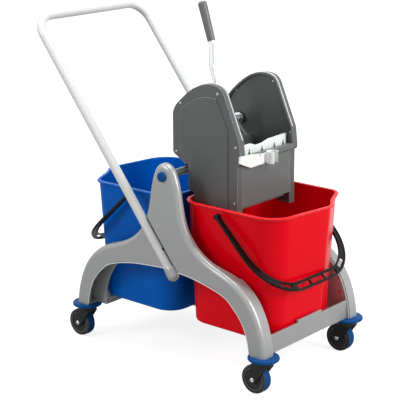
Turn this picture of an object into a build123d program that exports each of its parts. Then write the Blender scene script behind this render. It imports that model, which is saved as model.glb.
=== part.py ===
from build123d import *
import os
from math import cos, hypot, pi, radians, sin, tan

# Cleaning trolley: two buckets, a mop wringer and a push handle on a frame with four casters.
# Millimetres. +X points to the red bucket, -Y is the near side, +Z is up.
# The origin lies on the floor, midway between the four swivel axes.

# Clearances
RUN = 0.05              # radial, between a shaft and its bore
FACE_GAP = 0.3          # between faces that slide or swing past each other

# Casters
WHEELBASE = 612.0       # between swivel axes along X
WHEEL_DIA = 75.0
WHEEL_WIDTH = 24.0
WHEEL_FLANGE = 2.0      # side of the wheel centre beside the tread
FLANGE_DROP = 1.0       # flange below the tread
TREAD_DEPTH = 4.5
AXLE_DIA = 8.0
AXLE_HEAD_DIA = 12.0
AXLE_HEAD = 3.0
TRAIL = 22.0            # axle behind the swivel axis
WHEEL_SIDE_GAP = 1.5
FORK_PLATE = 4.0
FORK_EYE_DIA = 22.0
CROWN_DIA = 50.0
CROWN_THICK = 12.0
CROWN_GAP = 2.6         # wheel top to crown
STEM_DIA = 10.0
STEM_HEAD_DIA = 16.0
STEM_HEAD = 2.6
STEM_FLANGE_DIA = 24.0
STEM_FLANGE = 2.0
STEM_GRIP = 46.0        # stem inside the leg
BUMPER_DIA = 80.0
BUMPER_THICK = 10.0

# Side frames
FRAME_WIDTH = 412.0     # over both outer faces
SWIVEL_INSET = 24.0     # swivel axis inside the outer face
LEG_DEPTH = 38.0
WAIST_DEPTH = 18.0
WAIST_HALF = 150.0      # half length of the shallow middle
LEG_START = 260.0       # where the full leg depth begins
FRAME_WALL = 6.0
FRAME_ROUND = 13.0
ARCH_ROUND = 3.0
FOOT_OUTER = 18.0       # foot, outward of the swivel axis
FOOT_INNER = 26.0       # foot, inward of the swivel axis
ARCH_RISE = 167.0       # foot to arch crown
BOSS_DIA = 24.0
SCREW_DIA = 5.0
SCREW_HEAD_DIA = 10.0
SCREW_HEAD = 3.0
SCREW_LENGTH = 24.0

# Cross tube between the towers
TUBE_DIA = 20.0
TUBE_X = -2.0
TUBE_RISE = 64.1        # axis above the buckets' rims
TOWER_RISE = 33.0       # tower top above the tube axis
SHOULDER_RISE = 240.1   # shoulder above the foot
TOWER_BOLT_DIA = 8.0
TOWER_BOLT_DEPTH = 30.0
TOWER_HEAD_DIA = 15.0
TOWER_HEAD = 4.0
CAP_DIA = 26.0
CAP_HEIGHT = 8.0

# Push handle
HANDLE_DIA = 24.0
HANDLE_WALL = 2.0
HANDLE_FOOT = (33.0, 255.0)
HANDLE_TOP = (-452.0, 869.0)
HANDLE_BEND = 56.0
PLUG_FLANGE = 6.0
PLUG_DEPTH = 25.0
SADDLE_WALL = 5.0
SOCKET_LENGTH = 70.0    # cup round the handle's foot
HANDLE_GAP = 5.0        # groove beside the tube, towards the front

# End beams and rails
BEAM_FACE_INSET = 11.0  # beam face behind the foot's outer end
BEAM_WEB = 6.0
BEAM_HEIGHT = 49.0
BEAM_RAISE = 7.0        # raised middle of the web
BEAM_RAISE_HALF = 50.0
SHELF_DROP = 32.0       # shelf top below the web top
SHELF_THICK = 6.0
SHELF_INNER = 60.0      # shelf's inner edge, inward of the swivel axis
WING_THICK = 5.0
RAIL_Y = 17.0
RAIL_WIDTH = 30.0
RAIL_WALL = 2.0
LEDGE_THICK = 4.0
LEDGE_REACH = 30.0

# Buckets
BUCKET_HEIGHT = 327.0
BUCKET_WALL = 3.0
BASE_ROUND = 6.0
RIM_OVERHANG = 6.0
RIM_HEIGHT = 6.0
BUCKET_BACK_TOP = 20.5
BUCKET_BACK_BASE = 26.0
BUCKET_END_TOP = 347.0
BUCKET_END_BASE = 298.0
BUCKET_SIDE_GAP = 18.0  # base to the wing beside it
BUCKET_FLARE = 16.0     # top wider than the base, each side
BACK_CORNER_TOP = 50.0
BACK_CORNER_BASE = 55.0
EAR_X = 152.0
EAR_DROP = 18.0         # pin below the rim top
EAR_DIA = 13.0
EAR_SIDE_GAP = 3.2      # ear beyond the rim's side
PIN_DIA = 8.0
PIN_LENGTH = 7.0

# Bails
BAIL_TILT = 43.0        # below the horizontal at rest
BAIL_GAP = 3.2          # grip to the bucket's end at rest
BAIL_ARM = 11.0
BAIL_SPREAD = 5.5       # arm wider towards the grip
BAIL_SPREAD_END = 100.0
BAIL_GRIP = 25.0
BAIL_THICK = 7.0
BAIL_EDGE = 3.5         # raised edge beside the channel
CHANNEL_DEPTH = 1.6
BAIL_OUTER_CORNER = 130.0
BAIL_INNER_CORNER = 106.0
BAIL_EYE_DIA = 15.0
WINDOW_COUNT = 3        # along the straight grip
WINDOW_OVERRUN = 24.0   # row of windows past the bends' start
WINDOW_WIDTH = 13.0
WINDOW_RIB = 6.0
CORNER_WINDOW = 36.0    # window in each bend of the strap
CORNER_WINDOW_TURN = 30.0

# Wringer, with heights and lengths from the cross tube's axis
CHEEK_INNER = 98.0      # cheek's inner face from the middle plane
CHEEK_DEPTH = 20.0
CHEEK_SKIN = 4.0
CHEEK_EDGE = 5.0
PANEL_RAISE = 3.0
LINER_RECESS = 6.0
LINER_THICK = 3.0
CHEEK_SCREW_DIA = 4.0
CHEEK_SCREW_HEAD_DIA = 5.6
CHEEK_SCREW_HEAD = 1.6
CHEEK_BOSS_DIA = 11.0
WRINGER_REACH = 171.5   # face of the front wall
CHIN_REACH = 180.0      # foremost point of a cheek
CHIN_FACE = 10.0        # upright face of the chin, below the front wall's top
WRINGER_START = 28.0    # face of the back wall
WRINGER_DROP = 85.0
PLATE_THICK = 3.5
FRONT_PLATE_DROP = 73.0
FRONT_PLATE_RISE = 58.0
BACK_PLATE_RISE = 50.0
SIEVE_GAP = 10.0        # sieve behind the front plate
SIEVE_THICK = 4.0
SIEVE_RISE = 82.0
SIEVE_HOLE = 15.0
SIEVE_HOLE_HEIGHT = 24.0
SIEVE_HOLE_DROP = 36.0  # foot of the top row below the sieve's top
SIEVE_ROW_GAP = 14.0
SIEVE_COLUMNS = (-0.56, -0.03, 0.49, 0.87)  # as shares of the half width
PEG_DIA = 10.0
GRATE_THICK = 6.0
GRATE_SLOT = 7.0
GRATE_PITCH = 16.0
HOOK_THICK = 8.0
HOOK_WALL = 8.0
HOOK_BACK_DROP = 9.0    # back finger below the tube axis
HOOK_FRONT_DROP = 32.0

# Press and lever
SHAFT_AHEAD = 2.0       # in front of the cross tube
SHAFT_RISE = 101.0      # above the cross tube
SHAFT_DIA = 14.0
BUSH_FLANGE_DIA = 34.0
BUSH_FLANGE = 3.0
BUSH_DIA = 20.0
LEVER_DIA = 16.0
LEVER_WALL = 2.0
LEVER_BEND = 40.0
LEVER_HUB_DIA = 33.0
LEVER_HUB_WIDTH = 28.0
GRIP_DIA = 24.0
GRIP_END_DIA = 21.0
GRIP_LENGTH = 104.0
PRESS_THICK = 6.0
PRESS_SIDE_GAP = 6.0
PRESS_ARM_Y = 55.0
PRESS_ARM_WIDTH = 12.0
PRESS_HUB_DIA = 36.0
PRESS_RIB = 12.0

# Return spring round the press shaft
SPRING_WIRE = 3.0
SPRING_DIA = 27.0       # to the middle of the wire
SPRING_TURNS = 4
STOP_WIDTH = 5.0        # lugs that the spring bears on
STOP_DEPTH = 6.0

# Pole clip
CLIP_DEPTH = 5.0        # bar in front of the cheek
CLIP_RING_Y = -9.0
CLIP_RING_BORE = 24.0
CLIP_RING_WALL = 3.5
CLIP_LOW = 30.0         # above the cross tube
CLIP_HIGH = 60.0
CLIP_MOUTH = 16.0

# Heights and places that follow from the sizes above
SWIVEL_X = WHEELBASE / 2
AXLE_Z = WHEEL_DIA / 2
CROWN_BASE = WHEEL_DIA + CROWN_GAP
CROWN_TOP = CROWN_BASE + CROWN_THICK
FLANGE_BASE = CROWN_TOP + FACE_GAP
BUMPER_BASE = FLANGE_BASE + STEM_FLANGE
FOOT_Z = BUMPER_BASE + BUMPER_THICK
FRAME_Y = FRAME_WIDTH / 2
SWIVEL_Y = FRAME_Y - SWIVEL_INSET
FOOT_END = SWIVEL_X + FOOT_OUTER
FOOT_INSIDE = SWIVEL_X - FOOT_INNER
LEG_INSIDE_Y = FRAME_Y - LEG_DEPTH
BEAM_FACE = FOOT_END - BEAM_FACE_INSET
BEAM_TOP = FOOT_Z + BEAM_HEIGHT
SHELF_TOP = BEAM_TOP - SHELF_DROP
SHELF_BASE = SHELF_TOP - SHELF_THICK
SHELF_EDGE = SWIVEL_X - SHELF_INNER
WING_Y = LEG_INSIDE_Y - WING_THICK
BUCKET_BASE = SHELF_TOP
BUCKET_HALF_BASE = WING_Y - BUCKET_SIDE_GAP
BUCKET_HALF_TOP = BUCKET_HALF_BASE + BUCKET_FLARE
RIM_TOP = BUCKET_BASE + BUCKET_HEIGHT
EAR_Z = RIM_TOP - EAR_DROP
EAR_Y = BUCKET_HALF_TOP + RIM_OVERHANG + EAR_SIDE_GAP
BAIL_INNER = EAR_Y + FACE_GAP
BAIL_OUTER = BAIL_INNER + BAIL_ARM
BEND_START = BAIL_OUTER + BAIL_SPREAD - BAIL_OUTER_CORNER
WINDOW_ROW = 2 * (BEND_START + WINDOW_OVERRUN)
WINDOW_LENGTH = (WINDOW_ROW + WINDOW_RIB) / WINDOW_COUNT - WINDOW_RIB
END_SLOPE = (BUCKET_END_TOP - BUCKET_END_BASE) / BUCKET_HEIGHT
END_AHEAD = BUCKET_END_BASE + END_SLOPE * (EAR_Z - BUCKET_BASE) - EAR_X
TILT = radians(BAIL_TILT)
BAIL_REACH = (END_AHEAD + BAIL_GAP) / (cos(TILT) + END_SLOPE * sin(TILT)) + BAIL_GRIP / 2
TUBE_Z = RIM_TOP + TUBE_RISE
WRINGER_FRONT = TUBE_X + WRINGER_REACH
CHIN_X = TUBE_X + CHIN_REACH
CHIN_ROUND = CHIN_X - WRINGER_FRONT
WRINGER_BACK = TUBE_X + WRINGER_START
WRINGER_BASE = TUBE_Z - WRINGER_DROP
FRONT_PLATE_BASE = TUBE_Z - FRONT_PLATE_DROP
FRONT_PLATE_TOP = TUBE_Z + FRONT_PLATE_RISE
LIP_BASE = FRONT_PLATE_TOP - CHIN_FACE - CHIN_ROUND
BACK_PLATE_TOP = TUBE_Z + BACK_PLATE_RISE
SIEVE_TOP = TUBE_Z + SIEVE_RISE
SHAFT_X = TUBE_X + SHAFT_AHEAD
SHAFT_Z = TUBE_Z + SHAFT_RISE
CLIP_RING_BASE = TUBE_Z + CLIP_LOW
CLIP_RING_TOP = TUBE_Z + CLIP_HIGH
CHEEK_OUTER = CHEEK_INNER + CHEEK_DEPTH
LINER_Y = CHEEK_INNER + LINER_RECESS
CHEEK_BACK = TUBE_X + TUBE_DIA / 2 + 2 * FACE_GAP
SIEVE_BACK = WRINGER_FRONT - PLATE_THICK - SIEVE_GAP - SIEVE_THICK


def block(x0, x1, y0, y1, z0, z1):
    """Box between two corners."""
    middle = Pos((x0 + x1) / 2, (y0 + y1) / 2, (z0 + z1) / 2)
    return middle * Box(x1 - x0, y1 - y0, z1 - z0)


def rod(diameter, start, end):
    """Round bar between two points."""
    axis = Vector(*end) - Vector(*start)
    foot = Plane(origin=start, z_dir=axis)
    return foot * Cylinder(diameter / 2, axis.length, align=(Align.CENTER, Align.CENTER, Align.MIN))


def pin_y(diameter, x, z, y0, y1):
    """Round bar along Y."""
    return rod(diameter, (x, min(y0, y1), z), (x, max(y0, y1), z))


def pin_z(diameter, x, y, z0, z1):
    """Round bar along Z."""
    return rod(diameter, (x, y, z0), (x, y, z1))


def prism(face, y0, y1):
    """An XZ outline drawn in the sketch plane, given depth from y0 to y1."""
    low, high = min(y0, y1), max(y0, y1)
    return Pos(0, high, 0) * extrude(Plane.XZ * face, amount=high - low, dir=(0, -1, 0))


def slab(face, x0, x1):
    """A YZ outline drawn in the sketch plane, given depth from x0 to x1."""
    return Pos(x0, 0, 0) * extrude(Plane.YZ * face, amount=x1 - x0, dir=(1, 0, 0))


def outline(*edges):
    """Face inside a closed run of edges."""
    return make_face(list(edges))


def inset(face, amount):
    """Face moved inward, with its curved edges as plain splines."""
    edges = []
    for edge in offset(face, amount=-amount).edges():
        if edge.geom_type == GeomType.OFFSET:
            points = [edge @ (step / 16) for step in range(17)]
            edge = Spline(*points)
        edges.append(edge)
    return make_face(edges)


def rounded_loop(corners):
    """Face inside straight lines whose corners, given as (x, y, radius), are rounded."""
    arcs = []
    count = len(corners)
    for index, (x, y, radius) in enumerate(corners):
        corner = Vector(x, y)
        before = (corner - Vector(*corners[index - 1][:2])).normalized()
        after = (Vector(*corners[(index + 1) % count][:2]) - corner).normalized()
        turn = radians(before.get_angle(after))
        reach = radius * tan(turn / 2)
        inward = (after - before).normalized()
        middle = corner + inward * (radius / cos(turn / 2) - radius)
        arcs.append(ThreePointArc(corner - before * reach, middle, corner + after * reach))
    edges = []
    for index, arc in enumerate(arcs):
        edges += [Line(arcs[index - 1] @ 1, arc @ 0), arc]
    return make_face(edges)


def from_tube(*points):
    """Points given from the cross tube's axis, in X and Z."""
    return [(TUBE_X + x, TUBE_Z + z) for x, z in points]


def turned(part):
    """The same part on the other end of the trolley, turned about Z."""
    return Rot(0, 0, 180) * part


def far_side(part):
    """The same part on the far side, mirrored across the middle plane."""
    return mirror(part, about=Plane.XZ)


def curved_edges(part):
    """Curved edges of a part's nearest face, lowest first."""
    edges = part.faces().filter_by(Axis.Y).sort_by(Axis.Y)[0].edges()
    return edges.filter_by(GeomType.LINE, reverse=True).sort_by(Axis.Z)


# Frame

def arch_curve():
    """Underside of a side frame, from the front foot to the rear foot."""
    rise = [(0.0, 0.0), (10.0, 46.0), (26.0, 81.0), (53.0, 112.0), (88.0, 137.0), (166.0, 157.0)]
    half = [(FOOT_INSIDE - inward, FOOT_Z + up) for inward, up in rise]
    return Spline(*half, (0.0, FOOT_Z + ARCH_RISE), *[(-x, z) for x, z in reversed(half)])


def frame_outline():
    """Side view of one side frame: tower, shoulders and two legs over an arch."""
    top = TUBE_Z + TOWER_RISE
    crest = [(28.0, top - 16.0), (44.0, top - 59.0), (53.0, top - 107.0), (66.0, top - 153.0)]
    shoulder = [(100.0, FOOT_Z + SHOULDER_RISE), (160.0, FOOT_Z + SHOULDER_RISE - 36.0)]
    leg = [(102.0, 180.0), (56.0, 145.0), (24.0, 96.0), (6.0, 41.0), (0.0, 0.0)]
    side = crest + shoulder + [(FOOT_END - inward, FOOT_Z + rise) for inward, rise in leg]
    right = Spline(*side)
    left = mirror(right, about=Plane.YZ)
    crown = TangentArc(right @ 0, left @ 0, tangent=-(right % 0))
    arch = arch_curve()
    foot_right = Line(right @ 1, arch @ 0)
    foot_left = Line(left @ 1, arch @ 1)
    return outline(crown, right, foot_right, arch, foot_left, left)


def plan_band():
    """Plan of the near side frame: shallow at the waist, deep at the legs."""
    waist = -FRAME_Y + WAIST_DEPTH
    leg = -FRAME_Y + LEG_DEPTH
    end = FOOT_END + 10.0
    front = -FRAME_Y - 1.0
    points = [(-end, front), (end, front), (end, leg), (LEG_START, leg), (WAIST_HALF, waist)]
    points += [(-WAIST_HALF, waist), (-LEG_START, leg), (-end, leg)]
    band = make_face(Polyline(*points, close=True))
    return extrude(band, amount=TUBE_Z + 2 * TOWER_RISE)


def handle_direction():
    """Unit vector up the handle leg, in X and Z."""
    run = HANDLE_TOP[0] - HANDLE_FOOT[0]
    rise = HANDLE_TOP[1] - HANDLE_FOOT[1]
    length = hypot(run, rise)
    return run / length, rise / length


def handle_leg(diameter, shift=0.0):
    """Round bar along the near handle leg, from its plug to well past the side frame."""
    ux, uz = handle_direction()
    x, z = HANDLE_FOOT[0] + shift * uz, HANDLE_FOOT[1] - shift * ux
    below = PLUG_FLANGE + FACE_GAP
    low = (x - below * ux, -FRAME_Y, z - below * uz)
    high = (x + 420.0 * ux, -FRAME_Y, z + 420.0 * uz)
    return rod(diameter, low, high)


def handle_socket():
    """Cup in the near side frame round the handle's foot, open towards the outside."""
    ux, uz = handle_direction()
    foot = Vector(HANDLE_FOOT[0], -FRAME_Y, HANDLE_FOOT[1])
    up = Vector(ux, 0, uz)
    radius = HANDLE_DIA / 2 + SADDLE_WALL
    cup = rod(2 * radius, foot - up * (PLUG_FLANGE + SADDLE_WALL), foot + up * SOCKET_LENGTH)
    bottom = cup.edges().filter_by(GeomType.CIRCLE).sort_by(Axis.Z)[0]
    cup = fillet(bottom, PLUG_FLANGE + SADDLE_WALL)
    far = HANDLE_FOOT[0] + 2 * SOCKET_LENGTH
    room = block(-far, far, -FRAME_Y, -FRAME_Y + WAIST_DEPTH, FOOT_Z, TUBE_Z)
    return cup & room


def leg_opening(end):
    """Cut that opens a leg's hollow towards the arch, in X and Z."""
    arch = arch_curve()
    room = outline(arch, Line(arch @ 1, arch @ 0))
    low, high = FOOT_Z + FRAME_WALL, FOOT_Z + 0.72 * ARCH_RISE
    zone = Pos(end * FOOT_INSIDE, (low + high) / 2) * Rectangle(FOOT_INSIDE, high - low)
    return zone & Pos(end * 1.3 * FRAME_WALL, 0.6 * FRAME_WALL) * room


def wing_screws():
    """Places of the screws between a wing and its leg, in X and Z."""
    return [(FOOT_END - 36.0, FOOT_Z + 68.0), (FOOT_END - 62.0, FOOT_Z + 106.0)]


def side_frame():
    """Near side frame: a moulded shell, open towards the buckets and under its legs."""
    face = frame_outline()
    body = prism(face, -FRAME_Y, -LEG_INSIDE_Y)
    body = fillet(curved_edges(body)[1:], FRAME_ROUND)
    body = fillet(curved_edges(body)[:1], ARCH_ROUND) & plan_band()
    hollow = prism(inset(face, FRAME_WALL), -FRAME_Y + FRAME_WALL, -LEG_INSIDE_Y + 1.0)
    shell = body - hollow
    for end in (1, -1):
        shell -= prism(leg_opening(end), -FRAME_Y + FRAME_WALL, -LEG_INSIDE_Y + 1.0)
    saddle, groove = HANDLE_DIA + 2 * SADDLE_WALL, HANDLE_DIA + 2 * FACE_GAP
    inside = [handle_leg(saddle), handle_leg(saddle, shift=HANDLE_GAP)]
    inside.append(pin_y(TUBE_DIA + 2 * FRAME_WALL, TUBE_X, TUBE_Z, -FRAME_Y, -LEG_INSIDE_Y))
    for end in (1, -1):
        foot = (end * SWIVEL_X, -SWIVEL_Y)
        inside.append(pin_z(BOSS_DIA, *foot, FOOT_Z, FOOT_Z + STEM_GRIP + FRAME_WALL))
        for x, z in wing_screws():
            inside.append(pin_y(SCREW_DIA + 8.0, end * x, z, -FRAME_Y, -LEG_INSIDE_Y))
    for piece in inside:
        shell += body & piece
    shell += handle_socket()
    shell -= handle_leg(groove)
    shell -= handle_leg(groove, shift=HANDLE_GAP)
    shell -= pin_y(TUBE_DIA, TUBE_X, TUBE_Z, -FRAME_Y + FRAME_WALL, -LEG_INSIDE_Y)
    shell -= pin_y(TOWER_BOLT_DIA, TUBE_X, TUBE_Z, -FRAME_Y - 1.0, -LEG_INSIDE_Y)
    for end in (1, -1):
        foot = (end * SWIVEL_X, -SWIVEL_Y)
        shell -= pin_z(STEM_DIA, *foot, FOOT_Z - 1.0, FOOT_Z + STEM_GRIP)
        for x, z in wing_screws():
            shell -= pin_y(SCREW_DIA, end * x, z, -WING_Y - SCREW_LENGTH, -WING_Y)
    return shell


def tower_tube():
    """Cross tube with a threaded hole in each end."""
    end = FRAME_Y - FRAME_WALL
    tube = pin_y(TUBE_DIA, TUBE_X, TUBE_Z, -end, end)
    for side in (1, -1):
        tube -= pin_y(TOWER_BOLT_DIA, TUBE_X, TUBE_Z, side * end, side * (end - TOWER_BOLT_DEPTH))
    return tube


def tower_bolt():
    """Near bolt through the tower into the cross tube."""
    end = FRAME_Y - FRAME_WALL - TOWER_BOLT_DEPTH
    shank = pin_y(TOWER_BOLT_DIA, TUBE_X, TUBE_Z, -FRAME_Y, -end)
    return shank + pin_y(TOWER_HEAD_DIA, TUBE_X, TUBE_Z, -FRAME_Y - TOWER_HEAD, -FRAME_Y)


def tower_cap():
    """Near domed cap over the tower bolt."""
    cap = pin_y(CAP_DIA, TUBE_X, TUBE_Z, -FRAME_Y - CAP_HEIGHT, -FRAME_Y)
    edge = cap.edges().filter_by(GeomType.CIRCLE).sort_by(Axis.Y)[0]
    cap = fillet(edge, CAP_HEIGHT * 0.6)
    return cap - pin_y(TOWER_HEAD_DIA, TUBE_X, TUBE_Z, -FRAME_Y - TOWER_HEAD, -FRAME_Y)


def push_handle():
    """Bent handle tube, half sunk into both side frames."""
    low = [(HANDLE_FOOT[0], y, HANDLE_FOOT[1]) for y in (-FRAME_Y, FRAME_Y)]
    high = [(HANDLE_TOP[0], y, HANDLE_TOP[1]) for y in (-FRAME_Y, FRAME_Y)]
    path = FilletPolyline(low[0], high[0], high[1], low[1], radius=HANDLE_BEND)
    ring = Circle(HANDLE_DIA / 2) - Circle(HANDLE_DIA / 2 - HANDLE_WALL)
    return sweep(Plane(path ^ 0) * ring, path=path)


def handle_plug():
    """Near plug that closes the handle tube's lower end."""
    ux, uz = handle_direction()
    foot = Vector(HANDLE_FOOT[0], -FRAME_Y, HANDLE_FOOT[1])
    up = Vector(ux, 0, uz)
    flange = rod(HANDLE_DIA, foot - up * PLUG_FLANGE, foot)
    tip = flange.edges().filter_by(GeomType.CIRCLE).sort_by(Axis.Z)[0]
    flange = fillet(tip, PLUG_FLANGE * 0.8)
    return flange + rod(HANDLE_DIA - 2 * HANDLE_WALL, foot, foot + up * PLUG_DEPTH)


def wing_outline():
    """Inner cover of one leg, in X and Z: it reaches past the arch towards the bucket."""
    inner = [(34.0, 0.0), (35.0, 43.0), (49.0, 85.0), (75.0, 123.0)]
    outer = [(105.0, 176.0), (58.0, 142.5), (26.5, 95.0), (15.6, 66.0), (8.4, 40.0), (5.0, 23.0), (3.0, 0.0)]
    low = [(FOOT_INSIDE - inward, FOOT_Z + rise) for inward, rise in inner]
    high = [(FOOT_END - inward, FOOT_Z + rise) for inward, rise in outer]
    edges = [Spline(*low), Line(low[-1], high[0]), Spline(*high), Line(high[-1], low[0])]
    return outline(*edges)


def end_beam():
    """Front beam between the legs: web, bucket shelf, rail ledges and a wing on each leg."""
    web_back = BEAM_FACE - BEAM_WEB
    beam = block(web_back, BEAM_FACE, -LEG_INSIDE_Y, LEG_INSIDE_Y, FOOT_Z, BEAM_TOP)
    raise_half = BEAM_RAISE_HALF
    beam += block(web_back, BEAM_FACE, -raise_half, raise_half, FOOT_Z, BEAM_TOP + BEAM_RAISE)
    beam += block(SHELF_EDGE, web_back, -LEG_INSIDE_Y, LEG_INSIDE_Y, SHELF_BASE, SHELF_TOP)
    ledge_top = FOOT_Z + LEDGE_THICK
    lip = SHELF_EDGE + BEAM_WEB
    beam += block(SHELF_EDGE, lip, -LEG_INSIDE_Y, LEG_INSIDE_Y, FOOT_Z, SHELF_TOP)
    for side in (1, -1):
        inner, outer = side * (RAIL_Y - 0.7 * RAIL_WIDTH), side * (RAIL_Y + 0.7 * RAIL_WIDTH)
        low, high = min(inner, outer), max(inner, outer)
        beam += block(SHELF_EDGE - LEDGE_REACH, lip, low, high, FOOT_Z, ledge_top)
        beam += prism(wing_outline(), side * WING_Y, side * LEG_INSIDE_Y)
        beam -= pin_z(SCREW_DIA, rail_screw_x(), side * RAIL_Y, FOOT_Z - 1.0, ledge_top + 1.0)
        for x, z in wing_screws():
            beam -= pin_y(SCREW_DIA, x, z, side * (WING_Y - 1.0), side * (LEG_INSIDE_Y + 1.0))
            beam -= pin_y(SCREW_HEAD_DIA, x, z, side * (WING_Y - 1.0), side * (WING_Y + SCREW_HEAD))
    return beam


def rail_screw_x():
    """Screw that holds a rail's end to its ledge."""
    return SHELF_EDGE - LEDGE_REACH / 2


def support_rail():
    """Near box rail that carries the buckets' inner ends."""
    low = FOOT_Z + LEDGE_THICK
    half = RAIL_WIDTH / 2
    rail = block(-SHELF_EDGE, SHELF_EDGE, -RAIL_Y - half, -RAIL_Y + half, low, SHELF_TOP)
    inner_half = half - RAIL_WALL
    sides = (-RAIL_Y - inner_half, -RAIL_Y + inner_half)
    rail -= block(-SHELF_EDGE - 1, SHELF_EDGE + 1, *sides, low + RAIL_WALL, SHELF_TOP - RAIL_WALL)
    for end in (1, -1):
        rail -= pin_z(SCREW_DIA, end * rail_screw_x(), -RAIL_Y, low - 1.0, low + RAIL_WALL + 1.0)
    return rail


def rail_screws():
    """Four screws from below, through the ledges into the rails."""
    tip = FOOT_Z + LEDGE_THICK + RAIL_WALL
    screws = []
    for x in (rail_screw_x(), -rail_screw_x()):
        for y in (RAIL_Y, -RAIL_Y):
            shank = pin_z(SCREW_DIA, x, y, FOOT_Z, tip)
            screws.append(shank + pin_z(SCREW_HEAD_DIA, x, y, FOOT_Z - SCREW_HEAD, FOOT_Z))
    return Compound(screws)


def beam_screws():
    """Eight screws through the wings into the legs."""
    screws = []
    for side in (1, -1):
        for end in (1, -1):
            for x, z in wing_screws():
                shank = pin_y(SCREW_DIA, end * x, z, side * WING_Y, side * (WING_Y + SCREW_LENGTH))
                head = pin_y(SCREW_HEAD_DIA, end * x, z, side * WING_Y, side * (WING_Y + SCREW_HEAD))
                screws.append(shank + head)
    return Compound(screws)


# Casters

def caster_bumper():
    """Round bumper, clamped between the foot and the stem's flange."""
    disc = Pos(0, 0, BUMPER_BASE + BUMPER_THICK / 2) * Cylinder(BUMPER_DIA / 2, BUMPER_THICK)
    disc = fillet(disc.edges().filter_by(GeomType.CIRCLE), BUMPER_THICK * 0.45)
    return disc - pin_z(STEM_DIA, 0, 0, BUMPER_BASE - 1.0, FOOT_Z + 1.0)


def caster_stem():
    """Stem with the flange that carries the load and the head that holds the fork."""
    head_top = CROWN_BASE - FACE_GAP
    stem = pin_z(STEM_DIA, 0, 0, head_top - STEM_HEAD, FOOT_Z + STEM_GRIP)
    stem += pin_z(STEM_HEAD_DIA, 0, 0, head_top - STEM_HEAD, head_top)
    return stem + pin_z(STEM_FLANGE_DIA, 0, 0, FLANGE_BASE, BUMPER_BASE)


def caster_fork():
    """Swivel fork: a round crown over two plates that trail to the axle."""
    half = CROWN_DIA / 2
    crown = pin_z(CROWN_DIA, 0, 0, CROWN_BASE, CROWN_TOP)
    rim = crown.edges().filter_by(GeomType.CIRCLE).sort_by(Axis.Z)[-1]
    fork = fillet(rim, CROWN_THICK * 0.4)
    eye = FORK_EYE_DIA / 2
    back = (-half, CROWN_BASE)
    front = (half * 0.8, CROWN_BASE)
    toe = (-TRAIL + eye * 0.6, AXLE_Z - eye * 0.8)
    shin = Polygon(back, (-TRAIL - eye, AXLE_Z), toe, front, align=None)
    plate = shin + Pos(-TRAIL, AXLE_Z) * Circle(eye)
    inner = WHEEL_WIDTH / 2 + WHEEL_SIDE_GAP
    for side in (1, -1):
        fork += prism(plate, side * inner, side * (inner + FORK_PLATE))
    fork -= pin_z(STEM_DIA + 2 * RUN, 0, 0, CROWN_BASE - 1.0, CROWN_TOP + 1.0)
    return fork - pin_y(AXLE_DIA, -TRAIL, AXLE_Z, -half, half)


def caster_axle():
    """Axle with a domed head outside each fork plate."""
    grip = WHEEL_WIDTH / 2 + WHEEL_SIDE_GAP + FORK_PLATE
    axle = pin_y(AXLE_DIA, -TRAIL, AXLE_Z, -grip, grip)
    for side in (1, -1):
        head = pin_y(AXLE_HEAD_DIA, -TRAIL, AXLE_Z, side * grip, side * (grip + AXLE_HEAD))
        rim = head.edges().filter_by(GeomType.CIRCLE).sort_by(Axis.Y)[-1 if side > 0 else 0]
        axle += fillet(rim, AXLE_HEAD * 0.8)
    return axle


def wheel_hub():
    """Wheel centre with a bored boss and a dished side."""
    radius = WHEEL_DIA / 2 - TREAD_DEPTH
    half = WHEEL_WIDTH / 2
    hub = pin_y(2 * radius, -TRAIL, AXLE_Z, -half, half)
    for side in (1, -1):
        inner, outer = side * (half - WHEEL_FLANGE), side * half
        hub += pin_y(WHEEL_DIA - 2 * FLANGE_DROP, -TRAIL, AXLE_Z, inner, outer)
    dish = pin_y(2 * radius - 8.0, -TRAIL, AXLE_Z, half - 2.5, half + 1.0)
    dish -= pin_y(AXLE_DIA + 10.0, -TRAIL, AXLE_Z, half - 3.0, half + 2.0)
    hub -= dish
    hub -= far_side(dish)
    return hub - pin_y(AXLE_DIA + 2 * RUN, -TRAIL, AXLE_Z, -half - 1.0, half + 1.0)


def wheel_tyre():
    """Tread ring between the wheel centre's flanges."""
    half = WHEEL_WIDTH / 2 - WHEEL_FLANGE
    tyre = pin_y(WHEEL_DIA, -TRAIL, AXLE_Z, -half, half)
    tyre = fillet(tyre.edges().filter_by(GeomType.CIRCLE), TREAD_DEPTH * 0.5)
    return tyre - pin_y(WHEEL_DIA - 2 * TREAD_DEPTH, -TRAIL, AXLE_Z, -half - 1.0, half + 1.0)


# Buckets

def bucket_corners():
    """Corners of the red bucket's wall as (x, y, radius), at its base and at its top."""
    back, half, bend = BUCKET_BACK_BASE, BUCKET_HALF_BASE, BACK_CORNER_BASE
    end = BUCKET_END_BASE
    base = [(back, -half, bend), (end, -half, 60.0), (end + 2.0, half - 85.0, 40.0)]
    base += [(end - 9.0, half - 37.0, 30.0)]
    base += [(end - 38.0, half, 34.0), (back, half, bend)]
    back, half, bend = BUCKET_BACK_TOP, BUCKET_HALF_TOP, BACK_CORNER_TOP
    end = BUCKET_END_TOP
    top = [(back, -half, bend), (end - 28.0, -half, 65.0), (end, half - 125.0, 38.0)]
    top += [(end - 30.0, half - 83.0, 40.0), (end - 70.0, half, 36.0), (back, half, bend)]
    return base, top


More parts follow.
